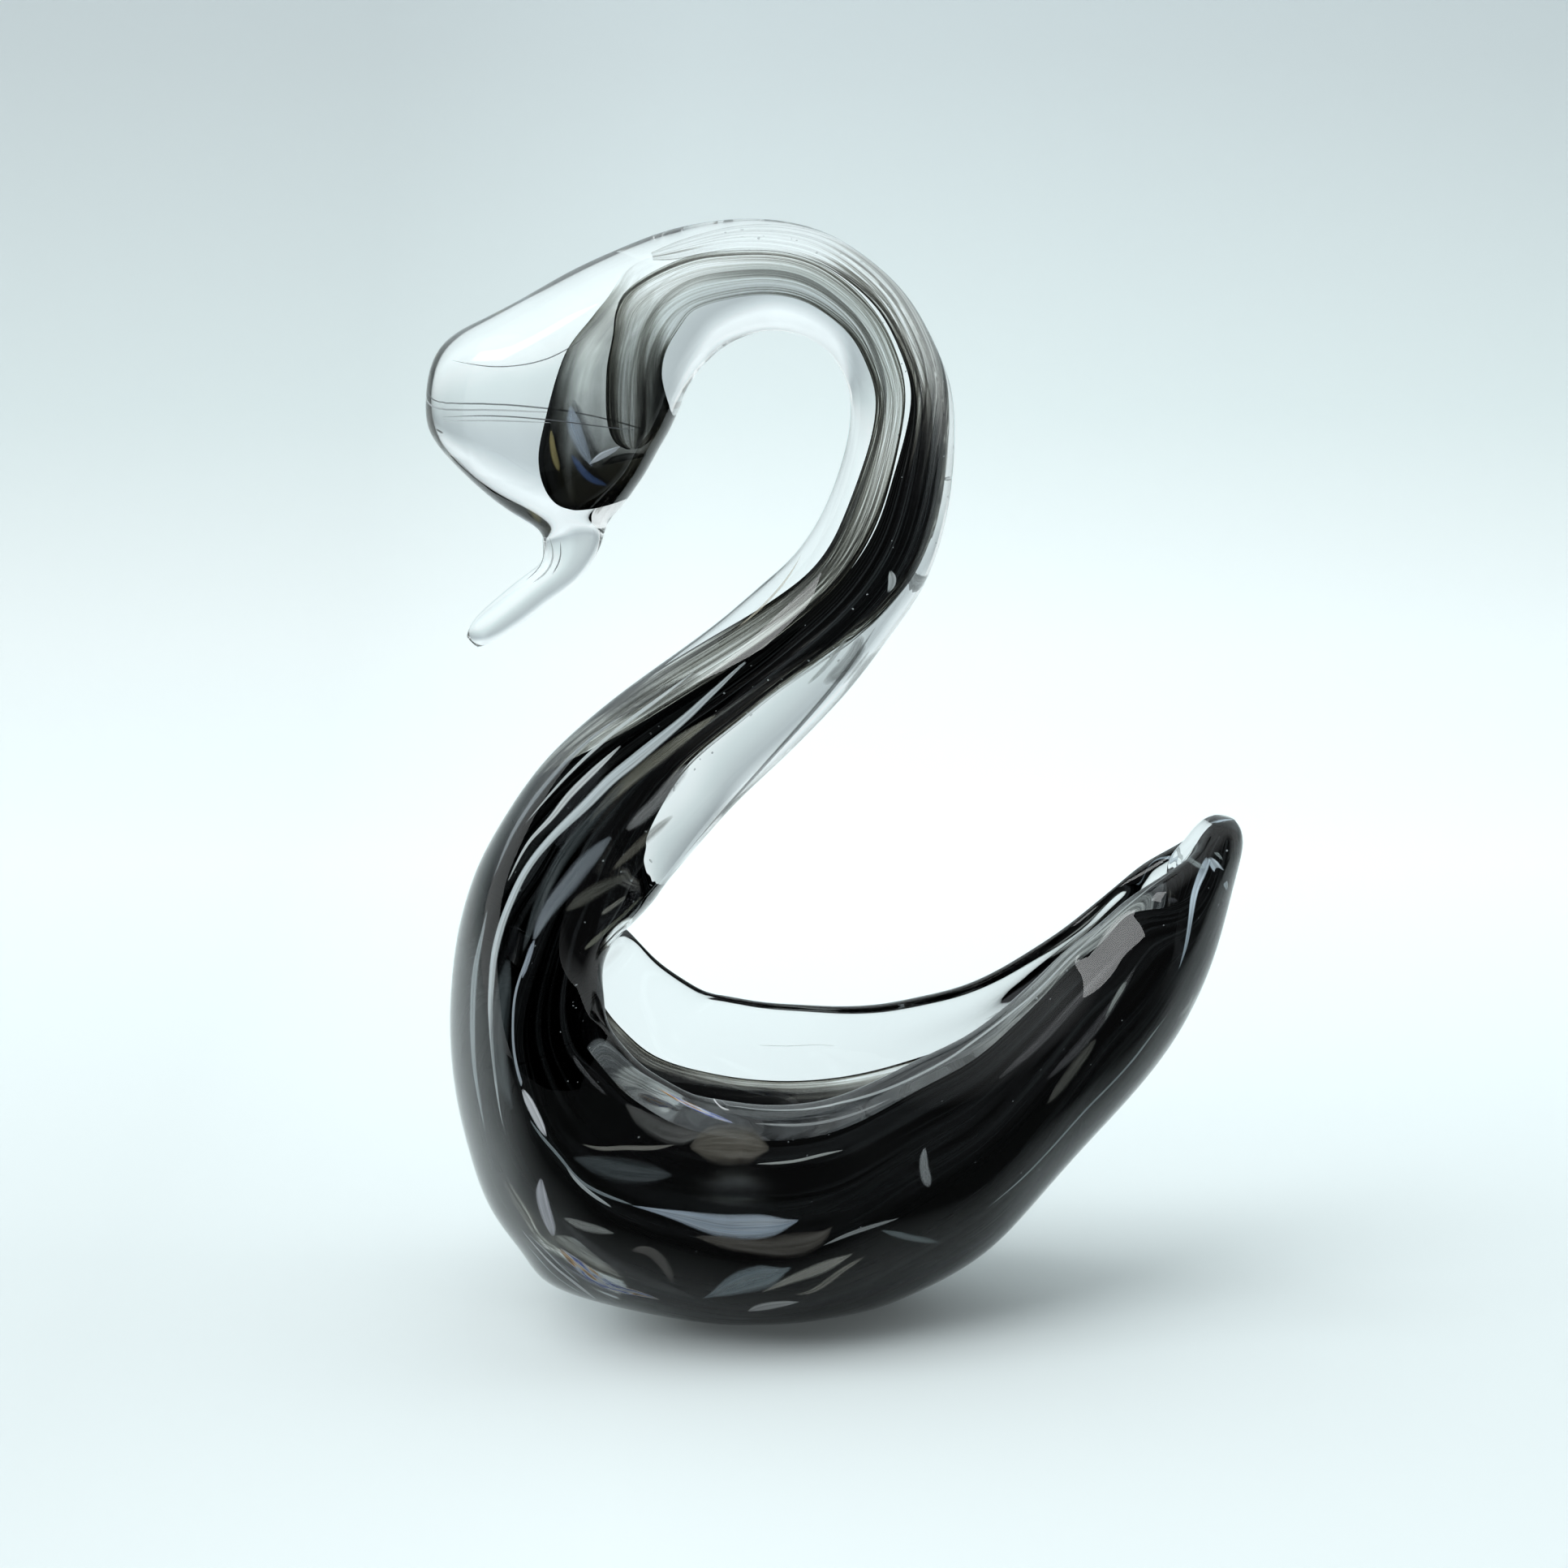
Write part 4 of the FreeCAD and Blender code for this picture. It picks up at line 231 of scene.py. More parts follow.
    ('B5', 'skin', 'streak_and_painted_light', 0.4, (0.45, 0.5, 0.55), [(-48.77, -19.65, 65.78, 0.26), (-49.4, -20.28, 64.1, 0.26), (-49.97, -20.86, 62.45, 0.26), (-50.41, -21.36, 60.94, 0.26), (-50.74, -21.81, 59.52, 0.26), (-50.96, -22.33, 58.0, 0.26), (-51.06, -22.99, 56.34, 0.26), (-51.05, -23.75, 54.61, 0.26), (-50.97, -24.51, 52.95, 0.27), (-50.81, -25.21, 51.39, 0.29), (-50.57, -25.84, 49.91, 0.32), (-50.23, -26.44, 48.43, 0.35), (-49.78, -27.04, 46.94, 0.38), (-49.19, -27.67, 45.5, 0.41), (-48.43, -28.38, 44.12, 0.44), (-47.48, -29.14, 42.75, 0.47), (-46.45, -29.86, 41.28, 0.48), (-45.46, -30.41, 39.66, 0.43), (-44.52, -30.83, 37.98, 0.35)]),
    ('B6', 'bowl', 'streak_and_painted_light', 0.4, (0.92, 0.93, 0.97), [(-49.39, -28.0, 45.42, 0.77), (-48.45, -29.04, 43.76, 0.95), (-47.5, -29.95, 42.02, 0.98), (-46.63, -30.62, 40.31, 0.81), (-45.85, -31.08, 38.72, 0.51)]),
    ('B7', 'skin', 'streak_and_painted_light', 0.8, (0.42, 0.47, 0.54), [(-48.24, -19.09, 67.06, 0.26), (-48.63, -19.62, 65.88, 0.42), (-49.06, -20.22, 64.49, 0.5), (-49.5, -20.85, 62.94, 0.47), (-49.93, -21.46, 61.36, 0.35)]),
    ('B8', 'skin', 'streak_and_painted_light', 0.9, (0.27, 0.3, 0.33), [(-36.5, -13.43, 82.99, 0.87), (-37.57, -13.68, 81.93, 1.04), (-38.72, -13.96, 80.75, 1.21), (-39.9, -14.26, 79.5, 1.37), (-40.99, -14.57, 78.26, 1.48), (-42.0, -14.92, 76.98, 1.54), (-43.05, -15.34, 75.61, 1.54), (-44.21, -15.84, 74.15, 1.47), (-45.41, -16.44, 72.64, 1.36), (-46.48, -17.11, 71.09, 1.22), (-47.3, -17.84, 69.56, 1.09), (-47.9, -18.53, 68.17, 0.98), (-48.36, -19.13, 66.94, 0.87)]),
    ('B8b', 'skin', 'streak_and_painted_light', 0.9, (0.36, 0.36, 0.36), [(-24.24, -10.44, 94.09, 1.05), (-25.17, -10.62, 93.03, 1.08), (-26.25, -10.86, 91.82, 1.12), (-27.44, -11.16, 90.47, 1.17), (-28.67, -11.49, 89.09, 1.19), (-29.99, -11.86, 87.72, 1.2), (-31.43, -12.26, 86.35, 1.17), (-32.85, -12.64, 85.08, 1.11), (-34.14, -12.96, 83.99, 1.05)]),
    ('B10', 'bowl', 'streak_and_painted_light', 0.7, (0.06, 0.06, 0.062), [(-41.73, -31.21, 51.73, 0.44), (-40.89, -32.27, 50.68, 0.43), (-39.87, -33.01, 49.52, 0.41), (-38.74, -33.5, 48.34, 0.39), (-37.66, -33.74, 47.23, 0.36), (-36.71, -33.83, 46.24, 0.34)]),
    ('B10b', 'bowl', 'streak_and_painted_light', 0.7, (0.07, 0.068, 0.062), [(-36.79, -29.11, 47.54, 0.44), (-35.48, -32.68, 47.61, 0.4), (-34.08, -32.43, 46.22, 0.37), (-32.75, -32.15, 44.98, 0.35)]),
    ('B11', 'skin', 'streak_and_painted_light', 0.7, (0.26, 0.26, 0.21), [(-41.18, -18.57, 65.34, 0.52), (-40.05, -17.1, 66.36, 0.5), (-38.71, -15.31, 67.58, 0.47), (-37.17, -13.28, 68.92, 0.44), (-35.58, -11.28, 70.24, 0.41), (-34.13, -9.56, 71.44, 0.38), (-32.86, -8.1, 72.5, 0.35)]),
    ('B11b', 'skin', 'streak_and_painted_light', 0.7, (0.34, 0.33, 0.29), [(-38.69, -15.12, 70.45, 0.44), (-37.51, -14.03, 71.26, 0.44), (-36.31, -12.88, 72.09, 0.44), (-35.13, -11.71, 72.91, 0.44)]),
    ('B12', 'skin', 'streak_and_painted_light', 0.8, (0.05, 0.058, 0.06), [(-33.86, -11.43, 91.36, 0.7), (-34.67, -11.67, 90.46, 0.75), (-35.62, -11.95, 89.42, 0.82), (-36.74, -12.24, 88.2, 0.89), (-37.97, -12.54, 86.85, 0.97), (-39.24, -12.83, 85.42, 1.05), (-40.46, -13.11, 84.0, 1.12), (-41.61, -13.37, 82.61, 1.18), (-42.69, -13.63, 81.2, 1.21), (-43.74, -13.94, 79.7, 1.22), (-44.71, -14.29, 78.16, 1.2), (-45.55, -14.7, 76.65, 1.16), (-46.32, -15.18, 75.12, 1.11), (-47.04, -15.79, 73.49, 1.05), (-47.74, -16.56, 71.71, 0.98), (-48.39, -17.41, 69.86, 0.9), (-48.98, -18.24, 68.1, 0.82), (-49.46, -18.93, 66.57, 0.76), (-49.84, -19.51, 65.26, 0.7)]),
    # RIM and R1 to R3: painted highlight lines along the near rim, R1 in painted rainbow colours
    ('RIM', 'skin', 'streak_and_painted_light', 0.5, (0.62, 0.66, 0.66), [(-20.16, -26.91, 42.65, 0.22), (-18.07, -30.68, 43.24, 0.21), (-16.17, -30.7, 42.87, 0.21), (-14.21, -30.65, 42.58, 0.21), (-12.25, -30.55, 42.36, 0.22), (-10.32, -30.38, 42.2, 0.23), (-8.39, -30.13, 42.11, 0.24), (-6.47, -29.75, 42.08, 0.25), (-4.55, -29.19, 42.12, 0.26), (-2.63, -28.43, 42.23, 0.26), (-0.71, -27.49, 42.4, 0.26), (1.18, -26.45, 42.6, 0.26), (3.0, -25.39, 42.82, 0.26), (4.72, -24.38, 43.06, 0.26), (6.37, -23.42, 43.35, 0.26), (8.01, -22.5, 43.7, 0.26), (9.69, -21.61, 44.15, 0.26), (11.45, -20.73, 44.69, 0.26), (13.27, -19.87, 45.33, 0.26), (15.08, -19.03, 46.05, 0.26), (16.81, -18.22, 46.8, 0.26), (18.4, -17.45, 47.58, 0.26), (19.91, -16.68, 48.38, 0.26), (21.38, -15.92, 49.22, 0.26), (22.84, -15.16, 50.08, 0.26), (24.28, -14.43, 50.96, 0.27), (25.69, -13.75, 51.84, 0.27), (27.07, -13.11, 52.74, 0.27), (28.42, -12.51, 53.65, 0.27), (29.74, -11.92, 54.59, 0.27), (31.05, -11.3, 55.58, 0.27), (32.39, -10.61, 56.65, 0.26), (33.74, -9.88, 57.79, 0.24), (35.08, -9.17, 58.95, 0.23), (36.43, -8.57, 60.15, 0.22), (37.81, -8.13, 61.39, 0.22), (39.21, -7.84, 62.66, 0.22), (40.6, -7.67, 63.95, 0.22), (41.95, -7.55, 65.2, 0.22), (43.22, -7.42, 66.37, 0.22), (44.47, -7.29, 67.5, 0.23), (45.72, -7.18, 68.63, 0.23), (47.02, -7.14, 69.77, 0.23), (48.45, -7.19, 70.96, 0.22), (50.05, -7.21, 72.22, 0.2), (51.75, -7.1, 73.46, 0.18), (53.33, -6.85, 74.53, 0.15), (54.73, -6.53, 75.45, 0.13)]),
    ('R1', 'skin', 'painted_rainbow', 0.5, (0.9, 0.9, 0.9), [(-28.96, -31.97, 46.54, 0.17), (-27.34, -31.8, 45.5, 0.26), (-25.54, -31.65, 44.43, 0.33), (-23.6, -31.57, 43.44, 0.39), (-21.66, -31.55, 42.59, 0.4), (-19.84, -31.56, 41.88, 0.37), (-18.22, -31.59, 41.27, 0.32), (-16.77, -31.62, 40.72, 0.26)]),
    ('R2', 'skin', 'streak_and_painted_light', 0.5, (0.9, 0.9, 0.9), [(-21.03, -27.15, 42.5, 0.2), (-18.99, -31.07, 42.94, 0.19), (-17.42, -31.27, 42.51, 0.17)]),
    ('R3', 'skin', 'streak_and_painted_light', 0.6, (0.55, 0.57, 0.57), [(-13.62, -31.02, 40.5, 0.17), (-12.03, -30.87, 40.34, 0.19), (-10.22, -30.66, 40.16, 0.22), (-8.24, -30.34, 40.0, 0.24), (-6.26, -29.87, 39.9, 0.26), (-4.33, -29.24, 39.89, 0.27), (-2.43, -28.44, 39.97, 0.27), (-0.55, -27.5, 40.11, 0.27), (1.32, -26.45, 40.33, 0.26), (3.18, -25.32, 40.65, 0.24), (4.99, -24.2, 41.04, 0.22), (6.6, -23.22, 41.45, 0.2), (7.99, -22.39, 41.83, 0.18)]),
    # L1 to K3 on the neck: the pale lines are painted highlights, the dark ones darker streaks in the glass
    ('L1', 'skin', 'streak_and_painted_light', 0.5, (0.7, 0.74, 0.74), [(-49.04, -6.98, 82.71, 0.18), (-48.07, -7.03, 83.96, 0.21), (-46.95, -7.05, 85.39, 0.24), (-45.66, -7.01, 86.98, 0.28), (-44.28, -6.91, 88.6, 0.32), (-42.91, -6.77, 90.12, 0.35), (-41.55, -6.61, 91.53, 0.38), (-40.19, -6.42, 92.89, 0.4), (-38.79, -6.22, 94.2, 0.42), (-37.39, -6.03, 95.48, 0.43), (-35.98, -5.85, 96.71, 0.44), (-34.56, -5.71, 97.88, 0.45), (-33.14, -5.61, 99.0, 0.45), (-31.72, -5.53, 100.09, 0.45), (-30.28, -5.46, 101.17, 0.45), (-28.74, -5.37, 102.32, 0.43), (-27.06, -5.25, 103.6, 0.39), (-25.33, -5.12, 104.91, 0.35), (-23.76, -5.01, 106.1, 0.3), (-22.41, -4.91, 107.13, 0.26)]),
    ('L2', 'skin', 'streak_and_painted_light', 0.8, (0.35, 0.38, 0.4), [(-54.59, -9.26, 74.59, 0.35), (-54.09, -8.9, 75.75, 0.41), (-53.52, -8.44, 77.1, 0.49), (-52.84, -7.88, 78.64, 0.57), (-52.08, -7.34, 80.25, 0.64), (-51.25, -6.9, 81.8, 0.7), (-50.38, -6.59, 83.28, 0.74), (-49.46, -6.39, 84.71, 0.76), (-48.48, -6.24, 86.13, 0.78), (-47.45, -6.13, 87.51, 0.79), (-46.38, -6.0, 88.87, 0.79), (-45.26, -5.86, 90.2, 0.79), (-44.09, -5.7, 91.52, 0.78), (-42.88, -5.53, 92.8, 0.76), (-41.63, -5.36, 94.04, 0.73), (-40.29, -5.23, 95.29, 0.69), (-38.8, -5.18, 96.57, 0.61), (-37.26, -5.18, 97.83, 0.52), (-35.86, -5.2, 98.92, 0.43), (-34.65, -5.21, 99.86, 0.35)]),
    ('L3', 'skin', 'streak_and_painted_light', 0.7, (0.6, 0.55, 0.45), [(-15.73, -4.39, 114.31, 0.18), (-14.55, -4.43, 115.29, 0.24), (-13.24, -4.42, 116.41, 0.29), (-11.86, -4.33, 117.67, 0.34), (-10.5, -4.11, 119.0, 0.36), (-9.18, -3.76, 120.36, 0.36), (-7.94, -3.26, 121.75, 0.34), (-6.8, -2.64, 123.15, 0.29), (-5.83, -1.97, 124.46, 0.24), (-4.99, -1.33, 125.66, 0.18)]),
    ('L4', 'skin', 'streak_and_painted_light', 0.9, (0.3, 0.29, 0.24), [(-39.67, -11.47, 84.53, 0.44), (-38.81, -11.23, 85.62, 0.55), (-37.74, -10.97, 86.83, 0.68), (-36.45, -10.68, 88.16, 0.81), (-35.08, -10.37, 89.49, 0.94), (-33.7, -10.06, 90.75, 1.03), (-32.36, -9.76, 91.91, 1.08), (-31.01, -9.48, 93.01, 1.11), (-29.61, -9.22, 94.08, 1.11), (-28.18, -8.99, 95.17, 1.08), (-26.71, -8.78, 96.31, 1.03), (-25.16, -8.6, 97.5, 0.94), (-23.56, -8.44, 98.68, 0.81), (-22.03, -8.32, 99.8, 0.68), (-20.71, -8.22, 100.77, 0.55), (-19.58, -8.14, 101.59, 0.44)]),
    ('L5', 'skin', 'streak_and_painted_light', 0.9, (0.18, 0.17, 0.14), [(-36.68, -12.92, 77.58, 0.53), (-35.59, -12.55, 78.68, 0.66), (-34.34, -12.16, 79.86, 0.81), (-32.97, -11.76, 81.13, 0.93), (-31.51, -11.34, 82.45, 0.99), (-30.0, -10.89, 83.76, 0.94), (-28.55, -10.44, 84.97, 0.83), (-27.23, -10.01, 86.03, 0.7)]),
    ('L6', 'skin', 'streak_and_painted_light', 0.9, (0.1, 0.1, 0.085), [(-43.78, -15.48, 70.82, 0.7), (-42.56, -14.86, 71.76, 0.95), (-41.21, -14.14, 72.79, 1.18), (-39.76, -13.35, 73.82, 1.29), (-38.31, -12.51, 74.7, 1.25), (-36.87, -11.61, 75.43, 1.09), (-35.52, -10.72, 76.06, 0.89), (-34.3, -9.88, 76.65, 0.7)]),
    ('K1', 'skin', 'streak_and_painted_light', 0.6, (0.045, 0.047, 0.047), [(5.58, -7.49, 115.97, 0.26), (4.84, -7.47, 114.82, 0.32), (3.97, -7.45, 113.47, 0.39), (2.95, -7.43, 111.92, 0.47), (1.85, -7.42, 110.3, 0.54), (0.74, -7.43, 108.74, 0.6), (-0.35, -7.44, 107.31, 0.63), (-1.43, -7.45, 105.95, 0.66), (-2.55, -7.45, 104.58, 0.68), (-3.7, -7.44, 103.2, 0.69), (-4.87, -7.41, 101.82, 0.69), (-6.02, -7.36, 100.45, 0.7), (-7.18, -7.29, 99.1, 0.71), (-8.34, -7.2, 97.75, 0.71), (-9.5, -7.1, 96.42, 0.71), (-10.68, -6.97, 95.07, 0.71), (-11.87, -6.79, 93.7, 0.71), (-13.08, -6.58, 92.29, 0.7), (-14.32, -6.34, 90.85, 0.7), (-15.59, -6.11, 89.37, 0.69), (-16.87, -5.92, 87.89, 0.68), (-18.12, -5.82, 86.46, 0.67), (-19.34, -5.82, 85.08, 0.64), (-20.6, -5.93, 83.65, 0.6), (-21.95, -6.11, 82.11, 0.53), (-23.29, -6.29, 80.57, 0.44), (-24.44, -6.44, 79.22, 0.35), (-25.43, -6.55, 78.07, 0.27)]),
    ('K2', 'skin', 'streak_and_painted_light', 0.3, (0.86, 0.9, 0.9), [(7.55, -6.35, 124.94, 0.44), (7.7, -5.84, 123.2, 0.7), (7.01, -5.71, 121.55, 0.35)]),
    ('K3', 'skin', 'streak_and_painted_light', 0.8, (0.5, 0.52, 0.5), [(0.75, -6.69, 114.44, 0.35), (-0.02, -6.72, 113.3, 0.41), (-0.91, -6.76, 112.03, 0.47), (-1.99, -6.84, 110.64, 0.49), (-3.22, -6.98, 109.25, 0.47), (-4.47, -7.14, 107.97, 0.41), (-5.65, -7.3, 106.84, 0.35)]),
    # U1 to U4 on the bulb: U1 is a painted leaf-shaped highlight, U2 a painted bluish reflection; U3 and U4 are amber
    # and dark blue patches
    ('U1', 'bulb', 'streak_and_painted_light', 0.3, (0.8, 0.84, 0.9), [(-39.73, -6.99, 142.17, 0.17), (-39.2, -7.06, 142.59, 0.32), (-38.63, -7.11, 143.02, 0.46), (-38.04, -7.13, 143.43, 0.56), (-37.5, -7.11, 143.76, 0.6), (-36.99, -7.06, 144.02, 0.57), (-36.49, -6.98, 144.28, 0.5), (-35.97, -6.88, 144.54, 0.4), (-35.5, -6.77, 144.8, 0.28), (-35.09, -6.65, 145.04, 0.17)]),
    ('U2', 'bulb', 'streak_and_painted_light', 0.9, (0.34, 0.4, 0.48), [(-42.32, -5.86, 151.26, 0.69), (-42.2, -6.08, 150.35, 0.93), (-42.06, -6.32, 149.35, 1.16), (-41.87, -6.55, 148.33, 1.31), (-41.62, -6.75, 147.41, 1.34), (-41.33, -6.92, 146.56, 1.27), (-41.0, -7.04, 145.69, 1.16), (-40.61, -7.11, 144.74, 1.01), (-40.15, -7.11, 143.7, 0.82), (-39.69, -7.04, 142.69, 0.62), (-39.25, -6.92, 141.77, 0.43)]),
    ('U3', 'bulb', 'streak_and_painted_light', 0.9, (0.26, 0.22, 0.1), [(-45.31, -4.27, 147.46, 0.44), (-45.25, -4.56, 146.57, 0.55), (-45.16, -4.84, 145.55, 0.66), (-45.02, -5.1, 144.41, 0.73), (-44.8, -5.29, 143.25, 0.73), (-44.53, -5.4, 142.16, 0.68), (-44.25, -5.46, 141.18, 0.61)]),
    ('U4', 'bulb', 'streak_and_painted_light', 0.9, (0.05, 0.09, 0.2), [(-42.34, -6.68, 143.81, 0.43), (-41.84, -6.72, 142.96, 0.52), (-41.27, -6.71, 142.0, 0.62), (-40.6, -6.59, 141.02, 0.71), (-39.82, -6.37, 140.17, 0.73), (-38.94, -6.05, 139.53, 0.67), (-38.04, -5.66, 139.08, 0.56), (-37.21, -5.22, 138.74, 0.44)]),
    # H1 to H4 along the tool creases of the head: painted shade in H1, H2 and H4, a painted highlight in H3
    ('H1', 'skin', 'streak_and_painted_light', 0.5, (0.22, 0.23, 0.24), [(-60.8, -7.42, 158.08, 0.08), (-59.1, -8.59, 157.91, 0.08), (-57.23, -9.64, 157.75, 0.09), (-55.32, -10.43, 157.63, 0.1), (-53.56, -10.94, 157.62, 0.11), (-51.92, -11.26, 157.71, 0.11), (-50.31, -11.47, 157.89, 0.11), (-48.69, -11.6, 158.16, 0.11), (-47.02, -11.67, 158.56, 0.12), (-45.34, -11.67, 159.12, 0.12), (-43.69, -11.62, 159.87, 0.11), (-42.08, -11.51, 160.79, 0.1), (-40.6, -11.36, 161.77, 0.09), (-39.28, -11.22, 162.71, 0.08)]),
    ('H2', 'skin', 'streak_and_painted_light', 0.5, (0.18, 0.19, 0.2), [(-62.6, -7.25, 149.27, 0.08), (-60.76, -8.49, 149.54, 0.09), (-58.76, -9.58, 149.78, 0.1), (-56.77, -10.39, 149.95, 0.11), (-55.01, -10.9, 150.02, 0.12), (-53.41, -11.23, 150.02, 0.12), (-51.8, -11.45, 149.98, 0.13), (-50.11, -11.6, 149.89, 0.13), (-48.31, -11.7, 149.75, 0.13), (-46.44, -11.74, 149.58, 0.13), (-44.52, -11.72, 149.38, 0.13), (-42.59, -11.65, 149.14, 0.13), (-40.65, -11.49, 148.88, 0.12), (-38.73, -11.22, 148.58, 0.12), (-36.87, -10.84, 148.28, 0.11), (-35.07, -10.31, 148.0, 0.1), (-33.34, -9.62, 147.77, 0.09), (-31.8, -8.85, 147.58, 0.07), (-30.49, -8.05, 147.42, 0.06)]),
    ('H3', 'skin', 'streak_and_painted_light', 0.5, (0.85, 0.88, 0.9), [(-62.36, -7.4, 148.65, 0.06), (-60.93, -8.38, 148.84, 0.08), (-59.26, -9.31, 149.02, 0.1), (-57.36, -10.11, 149.16, 0.12), (-55.41, -10.72, 149.25, 0.12), (-53.54, -11.12, 149.28, 0.13), (-51.68, -11.38, 149.26, 0.12), (-49.79, -11.56, 149.21, 0.12), (-48.0, -11.65, 149.15, 0.11), (-46.45, -11.69, 149.09, 0.1), (-45.12, -11.71, 149.03, 0.1)]),
    ('H4', 'skin', 'streak_and_painted_light', 0.7, (0.3, 0.33, 0.36), [(-60.91, -5.34, 143.52, 0.1), (-59.85, -5.22, 142.34, 0.12), (-58.66, -5.0, 141.03, 0.14), (-57.39, -4.64, 139.63, 0.15), (-56.13, -4.2, 138.26, 0.15), (-54.86, -3.78, 136.98, 0.15), (-53.48, -3.59, 135.83, 0.12), (-52.0, -3.7, 134.87, 0.1), (-50.51, -4.01, 134.07, 0.06)]),
    # W1 to W3 in the pinched crease at the root of the beak: a painted glint in W1, painted shade in W2 and W3
    ('W1', 'skin', 'streak_and_painted_light', 0.4, (0.75, 0.78, 0.78), [(-46.02, -2.83, 129.54, 0.1), (-45.84, -2.72, 128.84, 0.12), (-45.65, -2.69, 128.03, 0.15), (-45.52, -2.71, 127.17, 0.17), (-45.51, -2.73, 126.33, 0.19), (-45.65, -2.72, 125.56, 0.2), (-45.91, -2.71, 124.84, 0.2), (-46.29, -2.71, 124.16, 0.2), (-46.75, -2.72, 123.54, 0.19), (-47.3, -2.7, 122.98, 0.17), (-47.9, -2.66, 122.49, 0.15), (-48.47, -2.61, 122.07, 0.12), (-48.97, -2.56, 121.72, 0.1)]),
    ('W2', 'skin', 'streak_and_painted_light', 0.4, (0.2, 0.21, 0.22), [(-47.14, -1.19, 129.49, 0.08), (-46.96, -0.79, 127.36, 0.11), (-46.96, -0.67, 125.95, 0.13), (-47.15, -0.84, 125.12, 0.14), (-47.45, -1.13, 124.46, 0.14), (-47.85, -1.42, 123.85, 0.13), (-48.35, -1.61, 123.28, 0.12), (-48.9, -1.71, 122.76, 0.1), (-49.44, -1.76, 122.3, 0.08), (-49.92, -1.79, 121.91, 0.07)]),
    ('W3', 'skin', 'streak_and_painted_light', 0.5, (0.35, 0.37, 0.38), [(-44.3, -3.55, 128.9, 0.06), (-44.27, -3.45, 128.2, 0.08), (-44.26, -3.37, 127.44, 0.1), (-44.31, -3.3, 126.62, 0.12), (-44.49, -3.24, 125.75, 0.13), (-44.83, -3.17, 124.87, 0.13), (-45.27, -3.11, 124.05, 0.13), (-45.72, -3.08, 123.32, 0.13)]),
    ('P1', 'skin', 'streak_and_painted_light', 0.3, (0.05, 0.05, 0.05), [(-63.39, -5.71, 147.24, 0.13), (-63.06, -6.05, 147.1, 0.18), (-62.66, -6.43, 146.94, 0.19), (-62.2, -6.84, 146.77, 0.13)]),
]


NO,NT,NI=13,5,11      # samples per half: outer, tip, inner
def outer_share(share,f):
    g=min(1.0,f/0.45); g=g*g*(3-2*g)
    return share*(0.10+0.90*g)
def inner_share(share,f):
    g=min(1.0,f/0.45); g=g*g*(3-2*g)
    return share*(1.30-0.30*g)
def half_u(h_r,yr,wo,t0,tw,tr,full=2.0,share=1.0,top=1.0):
    """right half of an open bowl section, from the keel out, over the rim, back to the floor"""
    m0=(0.0,t0/2.0); m3=(yr,h_r-tr/2.0)
    wm=max(wo-tw/2.0,yr*0.6)
    m1=(wm*0.40*full,m0[1])
    m2=(wm*1.30-yr*0.16,m0[1]+(m3[1]-m0[1])*0.42)
    M=48; C=[];
    for i in range(M+1):
        t=i/M; a=(1-t)**3; b=3*t*(1-t)**2; c=3*t*t*(1-t); d=t**3
        C.append((a*m0[0]+b*m1[0]+c*m2[0]+d*m3[0],a*m0[1]+b*m1[1]+c*m2[1]+d*m3[1]))
    # arc length
    S=[0.0]
    for i in range(1,M+1): S.append(S[-1]+math.hypot(C[i][0]-C[i-1][0],C[i][1]-C[i-1][1]))
    Lc=S[-1]
    def at(f):
        s=f*Lc; k=0
        while k<M-1 and S[k+1]<s: k+=1
        q=(s-S[k])/max(1e-9,S[k+1]-S[k]); q=min(1,max(0,q))
        p=(C[k][0]+q*(C[k+1][0]-C[k][0]),C[k][1]+q*(C[k+1][1]-C[k][1]))
        k0=max(0,k-1); k1=min(M,k+2)
        tx,ty=C[k1][0]-C[k0][0],C[k1][1]-C[k0][1]; n=math.hypot(tx,ty) or 1
        if f<=1e-9: tx,ty,n=1,0,1
        return p,(tx/n,ty/n)
    def tau(f):
        # floor -> wall -> rim
        if f<0.5:
            g=f/0.5; g=g*g*(3-2*g); return (t0+(tw-t0)*g)/2
        g=(f-0.5)/0.5; g=g*g*(3-2*g); return (tw+(tr-tw)*g)/2
    P=[]
    for i in range(NO):
        f=top*i/NO; p,t=at(f); r=tau(f)*(share if share>=1 else outer_share(share,f)); P.append((p[0]+t[1]*r,p[1]-t[0]*r))
    p,t=at(top); r=tau(top)*share
    for i in range(NT+1):
        a=math.pi*i/NT; c,s=math.cos(a),math.sin(a)
        nx,ny=t[1],-t[0]
        P.append((p[0]+r*(nx*c+t[0]*s),p[1]+r*(ny*c+t[1]*s)))
    for i in range(1,NI+1):
        f=top*(1-i/NI); p,t=at(f); r=tau(f)*(share if share>=1 else inner_share(share,f)); P.append((max(0,p[0]-t[1]*r),p[1]+t[0]*r))
    P[0]=(0.0,P[0][1]); P[-1]=(0.0,P[-1][1])
    return P
def half_e(L,w,n,a_t=20.0,b_t=50.0):
    P=[]
    A=[-90+(a_t+90)*i/NO for i in range(NO)]+[a_t+(b_t-a_t)*i/NT for i in range(NT+1)]+[b_t+(90-b_t)*i/NI for i in range(1,NI+1)]
    for a in A:
        a=math.radians(a); c,s=math.cos(a),math.sin(a)
        x=w*abs(c)**(2/n); y=L/2*(1+math.copysign(abs(s)**(2/n),s)); P.append((x if abs(c)>1e-9 else 0.0,y))
    P[0]=(0.0,P[0][1]); P[-1]=(0.0,P[-1][1])
    return P
